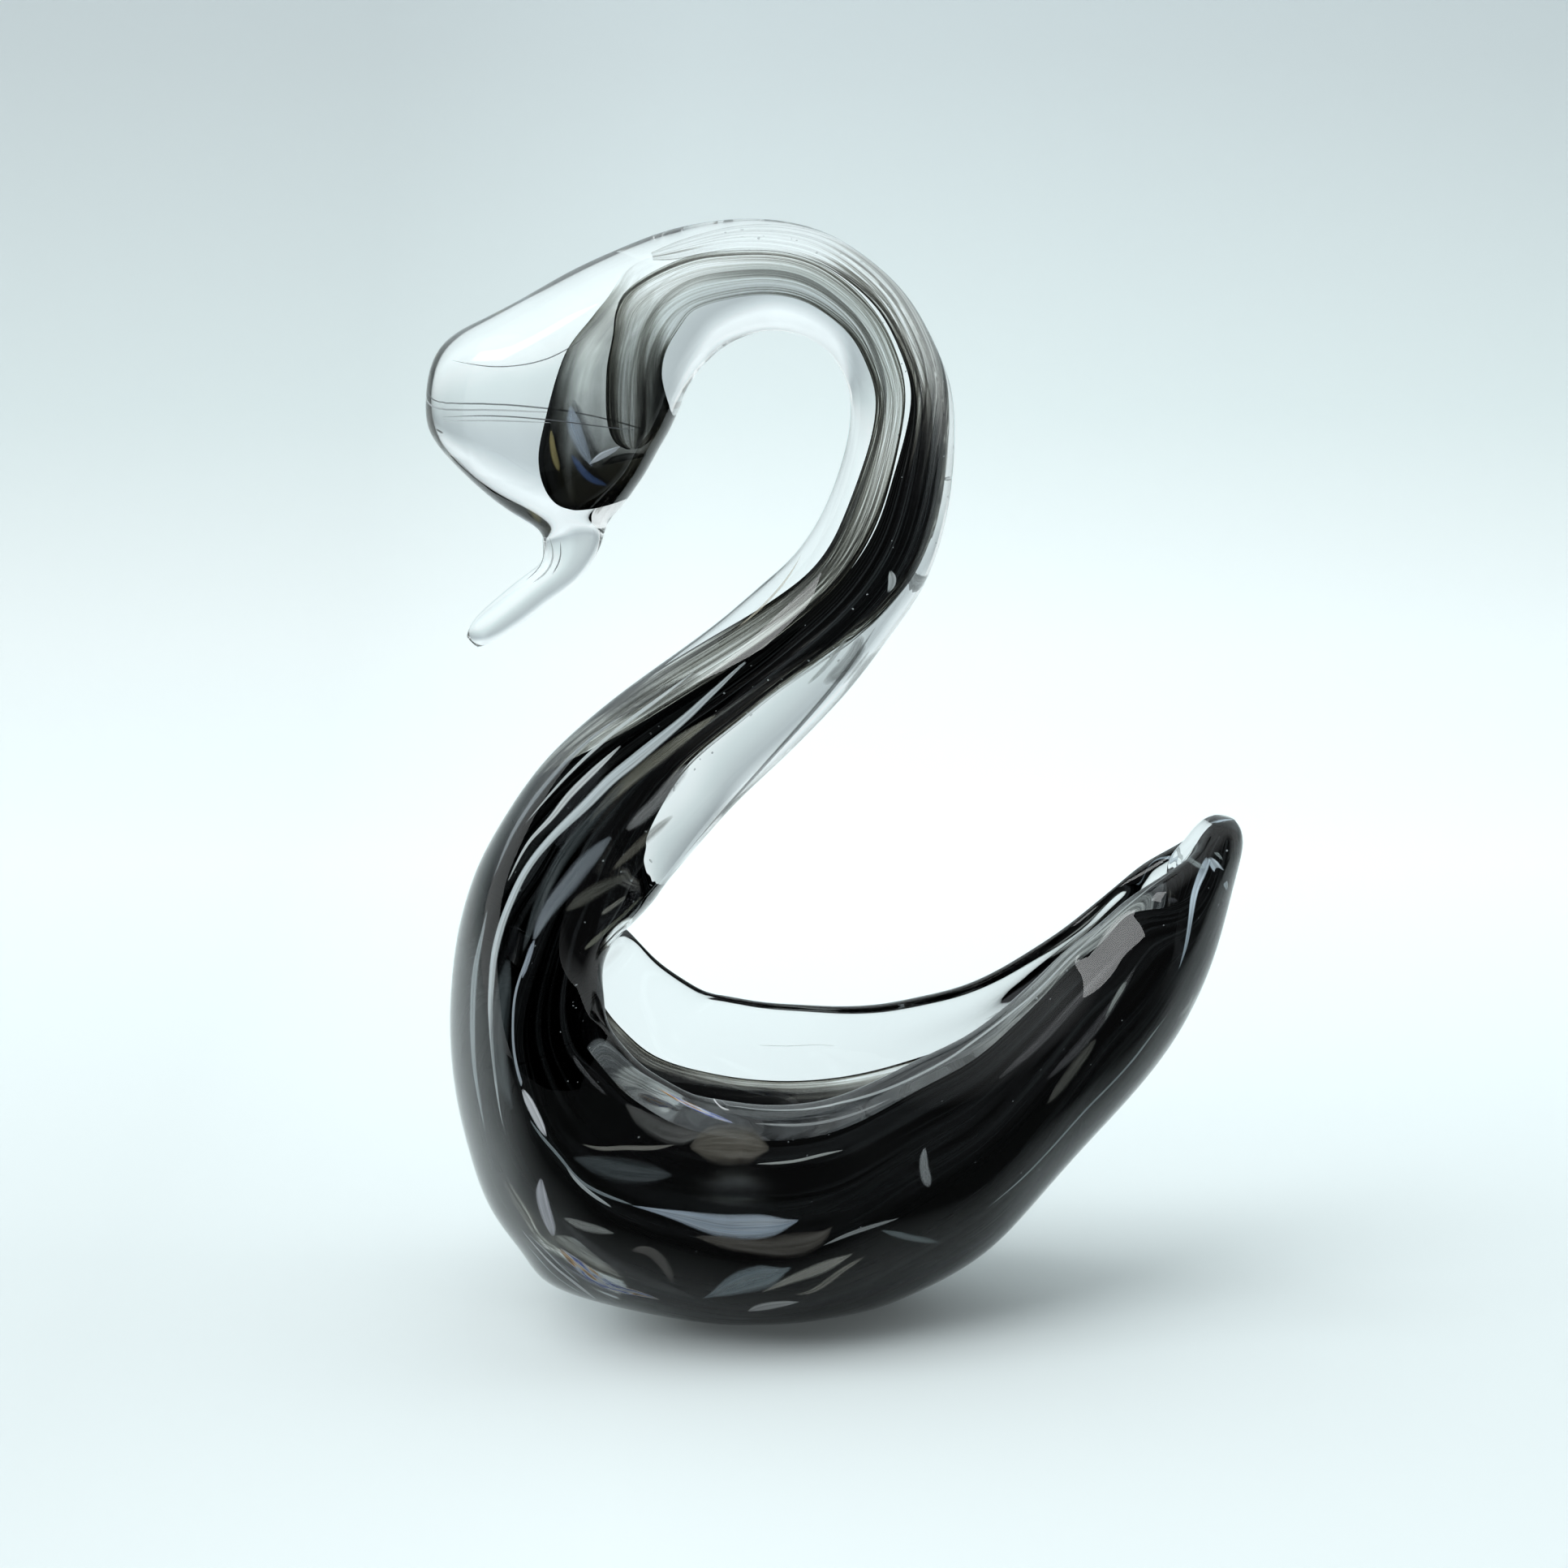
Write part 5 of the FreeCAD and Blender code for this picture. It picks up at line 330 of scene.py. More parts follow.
def place(row,H):
    Fx,Fz,Rx,Rz=row[:4]
    L=math.hypot(Rx-Fx,Rz-Fz); d=((Rx-Fx)/L,(Rz-Fz)/L)
    half=[(Fx+d[0]*h,y,Fz+d[1]*h) for y,h in H]
    left=[(x,-y,z) for x,y,z in half]
    return left+half[-2:0:-1]     # closed loop: keel, near side (-Y), far side back to the keel
def relax(H,times):
    """evens out a half section; its two ends stay on the middle plane and its size stays the same"""
    w0=max(p[0] for p in H); a0=min(p[1] for p in H); b0=max(p[1] for p in H)
    for _ in range(times):
        Q=[(-H[1][0],H[1][1])]+list(H)+[(-H[-2][0],H[-2][1])]
        H=[((Q[i-1][0]+2*Q[i][0]+Q[i+1][0])/4,(Q[i-1][1]+2*Q[i][1]+Q[i+1][1])/4) for i in range(1,len(Q)-1)]
        H[0]=(0.0,H[0][1]); H[-1]=(0.0,H[-1][1])
    w1=max(p[0] for p in H); a1=min(p[1] for p in H); b1=max(p[1] for p in H)
    return [(p[0]*w0/w1,a0+(p[1]-a1)*(b0-a0)/(b1-a1)) for p in H]
def section(row):
    Fx,Fz,Rx,Rz,yr,wo,t0,tw,tr,beta,n=row
    L=math.hypot(Rx-Fx,Rz-Fz); d=((Rx-Fx)/L,(Rz-Fz)/L)
    E=half_e(L,wo,max(n,2.0))
    if beta<1:
        U=half_u(L,yr,wo,t0,tw,tr,n)
        H=[((1-beta)*u[0]+beta*e[0],(1-beta)*u[1]+beta*e[1]) for u,e in zip(U,E)]
    else: H=E
    if 0.0<beta<1.0 or n<1.55: H=relax(H,6 if beta>0.02 else 3)
    return place(row,H)
def smoke_section(row,share,top,rod=None,mix=0.0):
    """the smoke layer inside a bowl rib, mixed towards a solid rod where the bowl closes into the neck"""
    Fx,Fz,Rx,Rz,yr,wo,t0,tw,tr,beta,n=row
    L=math.hypot(Rx-Fx,Rz-Fz)
    U=half_u(L,yr,wo,t0,tw,tr,n,share,top)
    if rod is None: return place(row,U)
    lo,hi,wf=rod
    E=[(y,lo*L+h) for y,h in half_e((hi-lo)*L,wo*wf,2.0)]
    H=[((1-mix)*u[0]+mix*e[0],(1-mix)*u[1]+mix*e[1]) for u,e in zip(U,E)]
    if 0.0<mix<1.0: H=relax(H,6)
    return place(row,H)


MM = 0.001

# ------------------------------------------------------------------ splines
def spline_matrix(n, periodic):
    """rows that turn n values into the second derivatives of a cubic spline through them, unit steps"""
    A = np.zeros((n, n)); B = np.zeros((n, n))
    for i in range(n):
        if periodic or 0 < i < n - 1:
            a, b = (i - 1) % n, (i + 1) % n
            A[i, i] = 4; A[i, a] += 1; A[i, b] += 1
            B[i, i] = -12; B[i, a] += 6; B[i, b] += 6
        else:
            A[i, i] = 1
    return np.linalg.solve(A, B)


def resample(P, at, periodic=False):
    """cubic spline along axis 0 of P, read at the row numbers in at"""
    n = P.shape[0]
    M = spline_matrix(n, periodic)
    D = np.tensordot(M, P, 1)
    i = np.floor(at).astype(int)
    if not periodic:
        i = np.clip(i, 0, n - 2)
    f = (at - i).reshape((-1,) + (1,) * (P.ndim - 1))
    a, b = i % n, (i + 1) % n
    return ((1 - f) * P[a] + f * P[b] + ((1 - f) ** 3 - (1 - f)) * D[a] / 6 + (f ** 3 - f) * D[b] / 6)


def skin_grid(sections, per_u, per_v):
    P = np.array(sections, float)
    # step numbers that follow the distance between ribs, so the spline doesn't wiggle
    step = np.sqrt(np.maximum(np.linalg.norm(np.diff(P, axis=0), axis=2).mean(1), 0.05))
    t = np.concatenate([[0], np.cumsum(step)])
    n = len(t)
    # natural cubic along u on uneven steps
    h = np.diff(t)
    A = np.zeros((n, n)); B = np.zeros((n, n))
    A[0, 0] = A[-1, -1] = 1
    for i in range(1, n - 1):
        A[i, i - 1] = h[i - 1]; A[i, i] = 2 * (h[i - 1] + h[i]); A[i, i + 1] = h[i]
        B[i, i - 1] = 6 / h[i - 1]; B[i, i] = -6 / h[i - 1] - 6 / h[i]; B[i, i + 1] = 6 / h[i]
    D = np.tensordot(np.linalg.solve(A, B), P, 1)
    rows, num = [], []
    for i in range(n - 1):
        L = np.linalg.norm(P[i + 1] - P[i], axis=1).mean()
        m = max(2, int(round(per_u * L)))
        for k in range(m):
            f = k / m
            a, b = 1 - f, f
            rows.append(a * P[i] + b * P[i + 1] + ((a ** 3 - a) * D[i] + (b ** 3 - b) * D[i + 1]) * h[i] ** 2 / 6)
            num.append(i + f)
    rows.append(P[-1]); num.append(n - 1.0)
    G = np.array(rows)
    m = P.shape[1]
    at = np.arange(m * per_v) / per_v
    G = resample(G.transpose(1, 0, 2), at, True).transpose(1, 0, 2)
    return G, np.array(num), at / m


def grid_object(name, G, num, vv, closed_ends=True, start=0.0):
    """a mesh from a grid of points in millimetres; UV.x is the length along in metres, UV.y goes round 0 to 1"""
    n, m = G.shape[:2]
    verts = (G * MM).reshape(-1, 3)
    idx = np.arange(n * m).reshape(n, m)
    a = idx[:-1, :]; b = np.roll(idx, -1, 1)[:-1, :]; c = np.roll(idx, -1, 1)[1:, :]; d = idx[1:, :]
    quads = np.stack([a, d, c, b], -1).reshape(-1, 4)
    me = bpy.data.meshes.new(name)
    faces = [tuple(int(x) for x in q) for q in quads]
    if closed_ends:
        faces.append(tuple(int(x) for x in idx[0, :]))
        faces.append(tuple(int(x) for x in idx[-1, ::-1]))
    me.from_pydata([tuple(v) for v in verts], [], faces)
    length = np.concatenate([[0], np.cumsum(np.linalg.norm(np.diff(G.mean(1), axis=0), axis=1))]) * MM + start
    uv = me.uv_layers.new(name="UVMap")
    co = np.zeros((len(me.loops), 2))
    vi = np.zeros(len(me.loops), int); me.loops.foreach_get("vertex_index", vi)
    co[:, 0] = length[vi // m]
    co[:, 1] = vv[vi % m]
    # the last strip runs up to 1, not back to 0
    nq = len(quads)
    lv = co[:nq * 4, 1].reshape(nq, 4)
    wrap = (lv.max(1) - lv.min(1)) > 0.5
    lv[wrap] = np.where(lv[wrap] < 0.5, lv[wrap] + 1.0, lv[wrap])
    co[:nq * 4, 1] = lv.reshape(-1)
    uv.data.foreach_set("uv", co.reshape(-1))
    me.polygons.foreach_set("use_smooth", [True] * len(me.polygons))
    me.polygons.foreach_set("material_index", [0] * nq + [1] * (len(me.polygons) - nq))
    me.update()
    o = bpy.data.objects.new(name, me)
    bpy.context.scene.collection.objects.link(o)
    # normals out
    import bmesh
    bm = bmesh.new(); bm.from_mesh(me)
    if closed_ends:
        vol = bm.calc_volume(signed=True)
        if vol < 0:
            bmesh.ops.reverse_faces(bm, faces=bm.faces)
    bm.to_mesh(me); bm.free()
    return o


# ------------------------------------------------------------------ materials
def new_mat(name):
    m = bpy.data.materials.new(name)
    m.use_nodes = True
    nt = m.node_tree
    nt.nodes.clear()
    out = nt.nodes.new("ShaderNodeOutputMaterial")
    return m, nt, out


def N(nt, kind, **kw):
    n = nt.nodes.new(kind)
    for k, v in kw.items():
        if k in n.inputs:
            n.inputs[k].default_value = v
        else:
            setattr(n, k, v)
    return n


def L(nt, a, b):
    nt.links.new(a, b)


def clear_glass(name, tint=(0.985, 0.995, 0.997, 1), bump=0.0):
    m, nt, out = new_mat(name)
    p = N(nt, "ShaderNodeBsdfPrincipled")
    p.inputs["Base Color"].default_value = tint
    p.inputs["Roughness"].default_value = 0.0
    p.inputs["IOR"].default_value = 1.5
    p.inputs["Transmission Weight"].default_value = 1.0
    # hand-worked surface: slow waves along the pull and faint tool ripples
    tc = N(nt, "ShaderNodeTexCoord")
    mp = N(nt, "ShaderNodeMapping"); mp.inputs["Scale"].default_value = (55, 90, 40)
    L(nt, tc.outputs["Object"], mp.inputs["Vector"])
    nz = N(nt, "ShaderNodeTexNoise"); nz.inputs["Scale"].default_value = 1.0; nz.inputs["Detail"].default_value = 1.5
    L(nt, mp.outputs[0], nz.inputs["Vector"])
    b1 = N(nt, "ShaderNodeBump"); b1.inputs["Strength"].default_value = 0.10; b1.inputs["Distance"].default_value = 0.0006
    L(nt, nz.outputs["Fac"], b1.inputs["Height"])
    L(nt, b1.outputs[0], p.inputs["Normal"])
    tr = N(nt, "ShaderNodeBsdfTransparent"); tr.inputs[0].default_value = (0.93, 0.95, 0.96, 1)
    lp = N(nt, "ShaderNodeLightPath")
    mx = N(nt, "ShaderNodeMixShader")
    L(nt, lp.outputs["Is Shadow Ray"], mx.inputs[0]); L(nt, p.outputs[0], mx.inputs[1]); L(nt, tr.outputs[0], mx.inputs[2])
    L(nt, mx.outputs[0], out.inputs["Surface"])
    return m


def streak(nt, uv, su, sv, detail, rough, off, distort=0.25):
    """noise drawn out along the pull: su per metre along, sv times round"""
    mp = N(nt, "ShaderNodeMapping"); mp.inputs["Scale"].default_value = (su, sv, 1)
    mp.inputs["Location"].default_value = (off, off * 0.37, off * 1.7)
    L(nt, uv, mp.inputs["Vector"])
    nz = N(nt, "ShaderNodeTexNoise"); nz.inputs["Scale"].default_value = 1.0
    nz.inputs["Detail"].default_value = detail; nz.inputs["Roughness"].default_value = rough
    nz.inputs["Distortion"].default_value = distort
    L(nt, mp.outputs[0], nz.inputs["Vector"])
    return nz.outputs["Fac"]


def math_node(nt, op, a, b, clamp=False):
    n = N(nt, "ShaderNodeMath", operation=op); n.use_clamp = clamp
    for k, v in enumerate((a, b)):
        if isinstance(v, (int, float)):
            n.inputs[k].default_value = v
        else:
            L(nt, v, n.inputs[k])
    return n.outputs[0]


def smoke_glass(name, stops, stretch, seed=0.0, shell=1.0, contrast=1.0, milk=(0.10, 0.11, 0.115, 1), milky=0.35):
    """index-matched smoke inside the clear glass: a thin skin, streaked along the pull, that takes more light where
    it is seen edge on; 'thin' on the mesh says where the gather was pulled thin, 'milk' where it is cloudy"""
    m, nt, out = new_mat(name)
    uv = N(nt, "ShaderNodeUVMap"); uv.uv_map = "UVMap"; uv = uv.outputs[0]
    a = streak(nt, uv, stretch[0], stretch[1], 4.0, 0.6, seed)
    b = streak(nt, uv, stretch[0] * 0.6, stretch[1] * 4.5, 3.0, 0.55, seed + 7.3)
    c = streak(nt, uv, stretch[0] * 3.0, stretch[1] * 0.35, 3.0, 0.5, seed + 3.1)
    s1 = math_node(nt, "ADD", a, math_node(nt, "MULTIPLY", b, 0.55))
    s1 = math_node(nt, "ADD", s1, math_node(nt, "MULTIPLY", c, 0.35))
    at = N(nt, "ShaderNodeAttribute"); at.attribute_name = "thin"
    tot = math_node(nt, "ADD", s1, at.outputs["Fac"])
    rg = N(nt, "ShaderNodeMapRange"); rg.inputs[1].default_value = 0.95 - 0.30 / contrast; rg.inputs[2].default_value = 0.95 + 0.30 / contrast
    L(nt, tot, rg.inputs[0])
    ramp = N(nt, "ShaderNodeValToRGB")
    ramp.color_ramp.elements[0].position = stops[0][0]; ramp.color_ramp.elements[0].color = stops[0][1]
    ramp.color_ramp.elements[1].position = stops[-1][0]; ramp.color_ramp.elements[1].color = stops[-1][1]
    for p, col in stops[1:-1]:
        e = ramp.color_ramp.elements.new(p); e.color = col
    L(nt, rg.outputs[0], ramp.inputs[0])
    lw = N(nt, "ShaderNodeLayerWeight"); lw.inputs["Blend"].default_value = 0.5
    cs = math_node(nt, "SUBTRACT", 1.0, lw.outputs["Facing"])
    inv = math_node(nt, "DIVIDE", shell, math_node(nt, "MAXIMUM", cs, 0.16))
    # painted light: a ray that has bounced more than twice sees the smoke clearer, which lightens the far wall and the
    # rim seen through the glass
    lp = N(nt, "ShaderNodeLightPath")
    inv = math_node(nt, "MULTIPLY", inv, math_node(nt, "SUBTRACT", 1.0, math_node(nt, "MULTIPLY", math_node(nt, "GREATER_THAN", lp.outputs["Ray Depth"], 2.5), 0.65)))
    gm = N(nt, "ShaderNodeGamma"); L(nt, ramp.outputs[0], gm.inputs[0]); L(nt, inv, gm.inputs[1])
    tr = N(nt, "ShaderNodeBsdfTransparent")
    L(nt, gm.outputs[0], tr.inputs[0])
    # a little cloud in the streaks, so the dark glass is never quite flat
    d = streak(nt, uv, stretch[0] * 0.8, stretch[1] * 2.2, 5.0, 0.65, seed + 13.7, 0.6)
    dm = N(nt, "ShaderNodeMapRange"); dm.inputs[1].default_value = 0.50; dm.inputs[2].default_value = 0.78; L(nt, d, dm.inputs[0])
    mk = N(nt, "ShaderNodeAttribute"); mk.attribute_name = "milk"
    fac = math_node(nt, "MULTIPLY", dm.outputs[0], math_node(nt, "MULTIPLY", mk.outputs["Fac"], milky), True)
    df = N(nt, "ShaderNodeBsdfDiffuse"); df.inputs[0].default_value = milk
    mx = N(nt, "ShaderNodeMixShader"); L(nt, fac, mx.inputs[0]); L(nt, tr.outputs[0], mx.inputs[1]); L(nt, df.outputs[0], mx.inputs[2])
    L(nt, mx.outputs[0], out.inputs["Surface"])
    return m


def joint_glass():
    """where two gathers are fused there is no surface to see"""
    m, nt, out = new_mat("fused_joint")
    tr = N(nt, "ShaderNodeBsdfTransparent"); tr.inputs[0].default_value = (1, 1, 1, 1)
    L(nt, tr.outputs[0], out.inputs["Surface"])
    return m


def film_glass(name, painted_rainbow=False):
    """a film drawn out along the pull, a diffuse colour lit by the lamps: the dark films are darker streaks in the
    glass, the pale ones trapped air and painted highlights, reflections and glints
    """
    m, nt, out = new_mat(name)
    uv = N(nt, "ShaderNodeUVMap"); uv.uv_map = "UVMap"; uv = uv.outputs[0]
    ca = N(nt, "ShaderNodeAttribute"); ca.attribute_name = "tint"
    al = N(nt, "ShaderNodeAttribute"); al.attribute_name = "cover"
    a = streak(nt, uv, 25.0, 5.0, 4.0, 0.6, 2.0)
    b = streak(nt, uv, 90.0, 14.0, 3.0, 0.6, 5.0)
    s = math_node(nt, "ADD", math_node(nt, "MULTIPLY", a, 0.7), math_node(nt, "MULTIPLY", b, 0.4))
    mr = N(nt, "ShaderNodeMapRange"); mr.inputs[1].default_value = 0.38; mr.inputs[2].default_value = 0.62
    mr.inputs[3].default_value = 0.30; mr.inputs[4].default_value = 1.0; L(nt, s, mr.inputs[0])
    fac = math_node(nt, "MULTIPLY", al.outputs["Fac"], mr.outputs[0], True)
    df = N(nt, "ShaderNodeBsdfDiffuse")
    if painted_rainbow:
        # painted rainbow glints: a ramp from dark through blue and white to orange stands in for the colour fringes of
        # dispersed light
        h = streak(nt, uv, 160.0, 3.0, 3.0, 0.6, 9.0)
        rp = N(nt, "ShaderNodeValToRGB")
        cols = [(0.30, (0.03, 0.03, 0.04, 1)), (0.40, (0.05, 0.10, 0.55, 1)), (0.46, (0.75, 0.82, 1.0, 1)), (0.52, (1, 0.98, 0.92, 1)),
                (0.58, (0.90, 0.45, 0.08, 1)), (0.64, (0.10, 0.07, 0.04, 1))]
        rp.color_ramp.elements[0].position = cols[0][0]; rp.color_ramp.elements[0].color = cols[0][1]
        rp.color_ramp.elements[1].position = cols[-1][0]; rp.color_ramp.elements[1].color = cols[-1][1]
        for p, col in cols[1:-1]:
            e = rp.color_ramp.elements.new(p); e.color = col
        L(nt, h, rp.inputs[0]); L(nt, rp.outputs[0], df.inputs[0])
    else:
        gn = N(nt, "ShaderNodeGamma"); L(nt, ca.outputs["Color"], gn.inputs[0])
        L(nt, math_node(nt, "SUBTRACT", 1.9, math_node(nt, "MULTIPLY", streak(nt, uv, 60.0, 8.0, 4.0, 0.65, 8.0), 1.8)), gn.inputs[1])
        L(nt, gn.outputs[0], df.inputs[0])
    tr = N(nt, "ShaderNodeBsdfTransparent")
    mx = N(nt, "ShaderNodeMixShader"); L(nt, fac, mx.inputs[0]); L(nt, tr.outputs[0], mx.inputs[1]); L(nt, df.outputs[0], mx.inputs[2])
    L(nt, mx.outputs[0], out.inputs["Surface"])
    return m


def mesh_points(o):
    me = o.data; n = len(me.vertices)
    co = np.zeros(n * 3); me.vertices.foreach_get("co", co)
    no = np.zeros(n * 3); me.vertices.foreach_get("normal", no)
    return co.reshape(-1, 3) / MM, no.reshape(-1, 3)


# streaks and painted highlights that would show through the bowl's clear windows have no twin on the far side
ONE_SIDE = ("B10", "B10b", "B6", "S5", "S6", "B5", "RIM", "S16", "S17", "S18", "S20", "S21", "T14", "R1", "R2", "R3", "B11", "B11b", "K1", "L5", "L6", "S19", "S22", "S3")


def films(name, rows, on, lift=0.22, mirror=True):
    """thin closed lens-shaped strips just outside the smoke, one per listed streak and painted highlight, left and
    right of the middle plane
    """
    verts, faces, uvs, tint, cover = [], [], [], [], []
    na = 9
    A = np.linspace(-1, 1, na)
    top = np.stack([A, np.sqrt(np.maximum(0, 1 - A ** 2))], 1)
    ring = np.concatenate([top, np.stack([A[-2:0:-1], -np.sqrt(np.maximum(0, 1 - A[-2:0:-1] ** 2))], 1)])
    m = len(ring)
    for s in rows:
        where, kind, soft, col, pts = s[1], s[2], s[3], s[4], np.array(s[5], float)
        P0, N0 = on[where]
        own = lift * (1.0 + 0.08 * (len(verts) // 16 * 7 % 13))
        n = len(pts)
        at = np.linspace(0, n - 1, max(7, (n - 1) * 4 + 1))
        Q = resample(pts, at) if n > 2 else np.array([pts[0] + (pts[-1] - pts[0]) * t for t in np.linspace(0, 1, len(at))])
        for side in ((1, -1) if mirror and s[0] not in ONE_SIDE else (1,)):
            R = Q.copy(); R[:, 1] *= side
            C = R[:, :3]
            nn = np.array([N0[np.argmin(((P0 - c) ** 2).sum(1))] for c in C])
            for _ in range(3):
                nn[1:-1] = (nn[:-2] + 2 * nn[1:-1] + nn[2:]) / 4
            nn /= np.maximum(np.linalg.norm(nn, axis=1, keepdims=True), 1e-9)
            T = np.gradient(C, axis=0); T /= np.maximum(np.linalg.norm(T, axis=1, keepdims=True), 1e-9)
            X = np.cross(T, nn); X /= np.maximum(np.linalg.norm(X, axis=1, keepdims=True), 1e-9)
            C = C + nn * own
            L0 = np.concatenate([[0], np.cumsum(np.linalg.norm(np.diff(C, axis=0), axis=1))])
            base = len(verts); k = len(C)
            for i in range(k):
                w = max(0.06, R[i, 3])
                e = min(1.0, min(i, k - 1 - i) / max(1.5, 0.28 * k) + 0.06); e = e * (2 - e)
                for a, h in ring:
                    p = C[i] + X[i] * a * w * (0.25 + 0.75 * e) + nn[i] * (h * min(0.12, 0.10 * w + 0.03) - 0.5 * (a * w) ** 2 / 40.0)
                    verts.append(p * MM)
                    uvs.append((L0[i] * MM, a * 0.5 + 0.5 + 3.1 * len(rows)))
                    tint.append((col[0], col[1], col[2], 1.0))
                    q = min(1.0, (1 - abs(a)) / max(0.05, soft)); q = q * q * (3 - 2 * q)
                    cover.append(q * min(1.0, e + (0.0 if i in (0, k - 1) else 0.1)) * (0.0 if i in (0, k - 1) else 1.0) * (0.9 if soft < 0.6 else 0.62))
            for i in range(k - 1):
                for j in range(m):
                    a = base + i * m + j; b2 = base + i * m + (j + 1) % m
                    faces.append((a, b2, b2 + m, a + m))
            faces.append(tuple(base + j for j in range(m))[::-1]); faces.append(tuple(base + (k - 1) * m + j for j in range(m)))
    me = bpy.data.meshes.new(name)
    me.from_pydata([tuple(v) for v in verts], [], faces)
    uv = me.uv_layers.new(name="UVMap")
    vi = np.zeros(len(me.loops), int); me.loops.foreach_get("vertex_index", vi)
    uv.data.foreach_set("uv", np.array(uvs)[vi].reshape(-1))
    me.polygons.foreach_set("use_smooth", [True] * len(me.polygons))
    ta = me.attributes.new("tint", "FLOAT_COLOR", "POINT"); ta.data.foreach_set("color", np.array(tint).reshape(-1))
    co = me.attributes.new("cover", "FLOAT", "POINT"); co.data.foreach_set("value", np.array(cover))
    import bmesh
    bm = bmesh.new(); bm.from_mesh(me); bmesh.ops.recalc_face_normals(bm, faces=bm.faces); bm.to_mesh(me); bm.free()
    o = bpy.data.objects.new(name, me)
    bpy.context.scene.collection.objects.link(o)
    return o


def paint_thin(o, fn):
    """fn(x, y, z, u, v) in millimetres gives how much lighter the smoke is there"""
    me = o.data
    at = me.attributes.new("thin", "FLOAT", "POINT")
    n = len(me.vertices)
    co = np.zeros(n * 3); me.vertices.foreach_get("co", co); co = co.reshape(-1, 3) / MM
    t, k = fn(co[:, 0], co[:, 1], co[:, 2])
    at.data.foreach_set("value", np.asarray(t + 0 * co[:, 0], float))
    at = me.attributes.new("milk", "FLOAT", "POINT")
    at.data.foreach_set("value", np.asarray(k + 0 * co[:, 0], float))


# ------------------------------------------------------------------ scene
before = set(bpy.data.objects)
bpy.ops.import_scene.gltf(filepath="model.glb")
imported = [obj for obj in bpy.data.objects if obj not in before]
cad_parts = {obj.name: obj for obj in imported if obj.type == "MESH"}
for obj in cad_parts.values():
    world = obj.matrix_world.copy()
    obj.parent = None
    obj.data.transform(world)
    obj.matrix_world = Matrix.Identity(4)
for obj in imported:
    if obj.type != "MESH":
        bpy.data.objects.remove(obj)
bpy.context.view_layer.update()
scene = bpy.context.scene

def skin_section(row):
    """the CAD's section, with the far side's lip drawn a little finer"""
    if row[9] > 0:
        return section(row)
    fine = list(row); fine[8] = row[8] * 0.40
    a, b = section(row), section(fine)
    h = len(a) // 2
    return a[:h + 1] + b[h + 1:]


sections = [skin_section(r) for r in RIBS]
G, num, vv = skin_grid(sections, 1.6, 3)
G[..., 2] = np.maximum(G[..., 2], 0.0)
skin = grid_object("clear_skin", G, num, vv)
skin.data.materials.append(clear_glass("clear_glass"))

# smoke
def two_tops(row, share, rod=None, mix=0.0):
    """the smoke reaches closer to the lip on the left side than on the right"""
    a, b = smoke_section(row, share, 0.92, rod, mix), smoke_section(row, share, 0.75, rod, mix)
    h = len(a) // 2
    return a[:h + 1] + b[h + 1:]


smoke = []
for k in range(2, 28):
    r = RIBS[k]
    fade = [0.50, 0.72, 0.88, 0.96][k - 2] if k < 6 else 1.0
    if k >= 22:
        lo, hi, wf, mix = CLOSE[k - 22]
        smoke.append(two_tops(r, 0.56, (lo, hi, wf), mix))
    elif r[9] > 0:
        smoke.append(smoke_section(r, 0.56 * fade, 0.80, (0.44 - 0.26 * fade, 0.44 + 0.16 * fade, 0.60 * fade), 1.0 if k < 5 else 0.45))
    else:
        smoke.append(two_tops(r, 0.56))
for r in REAR_ROD:
    Lr = math.hypot(r[2] - r[0], r[3] - r[1])
    close_up = 0.55 * max(0.0, min(1.0, (152.0 - r[1]) / 14.0))
    r = (r[0] - (r[2] - r[0]) / Lr * close_up, r[1] - (r[3] - r[1]) / Lr * close_up) + tuple(r[2:])
    Lr = math.hypot(r[2] - r[0], r[3] - r[1])
    smoke.append(place(r[:4], half_e(Lr, r[4], 2.0)))
GS, ns, vs = skin_grid(smoke, 1.2, 3)


def oval(row, count=24):
    ax, az, bx, bz, w = row
    Lr = math.hypot(bx - ax, bz - az)
    cx, cz, dx, dz = (ax + bx) / 2, (az + bz) / 2, (bx - ax) / Lr, (bz - az) / Lr
    return [(cx + dx * -math.cos(t) * Lr / 2, -math.sin(t) * w, cz + dz * -math.cos(t) * Lr / 2)
            for t in (2 * math.pi * i / count for i in range(count))]


cut = int(np.argmin(np.abs(ns - 20.5)))
lining = grid_object("bowl_smoke", GS[:cut + 1], ns[:cut + 1], vs)
rear = grid_object("neck_smoke_rear", GS[cut:], ns[cut:], vs, True, float(np.linalg.norm(np.diff(GS[:cut + 1].mean(1), axis=0), axis=1).sum()) * MM)


def set_back(r):
    """half way up the neck the front rod lies a little deeper in the clear glass"""
    k = 1.9 * math.exp(-((r[1] - 120.0) / 11.0) ** 2) * (1.0 if r[0] > -30 and r[0] < 8 else 0.0)
    w = math.hypot(r[2] - r[0], r[3] - r[1])
    return (r[0] + (r[2] - r[0]) / w * k, r[1] + (r[3] - r[1]) / w * k, r[2], r[3], r[4])


GF, nf, vf = skin_grid([oval(set_back(r)) for r in FRONT_ROD], 1.0, 3)
front = grid_object("neck_smoke_front", GF, nf, vf)
# the sheath of the bulb leaves the rod on top of the arch
SHEATH = [(-9.0, 170.3, -9.0, 171.5, 0.8), (-12.5, 168.9, -12.4, 173.1, 2.8), (-18.0, 168.0, -19.0, 173.2, 3.3), (-21.8, 167.3, -26.0, 172.3, 3.2)]
GB, nb, vb = skin_grid([oval(r) for r in SHEATH + list(BULB)], 1.2, 4)
bulb = grid_object("head_smoke_bulb", GB, nb, vb)

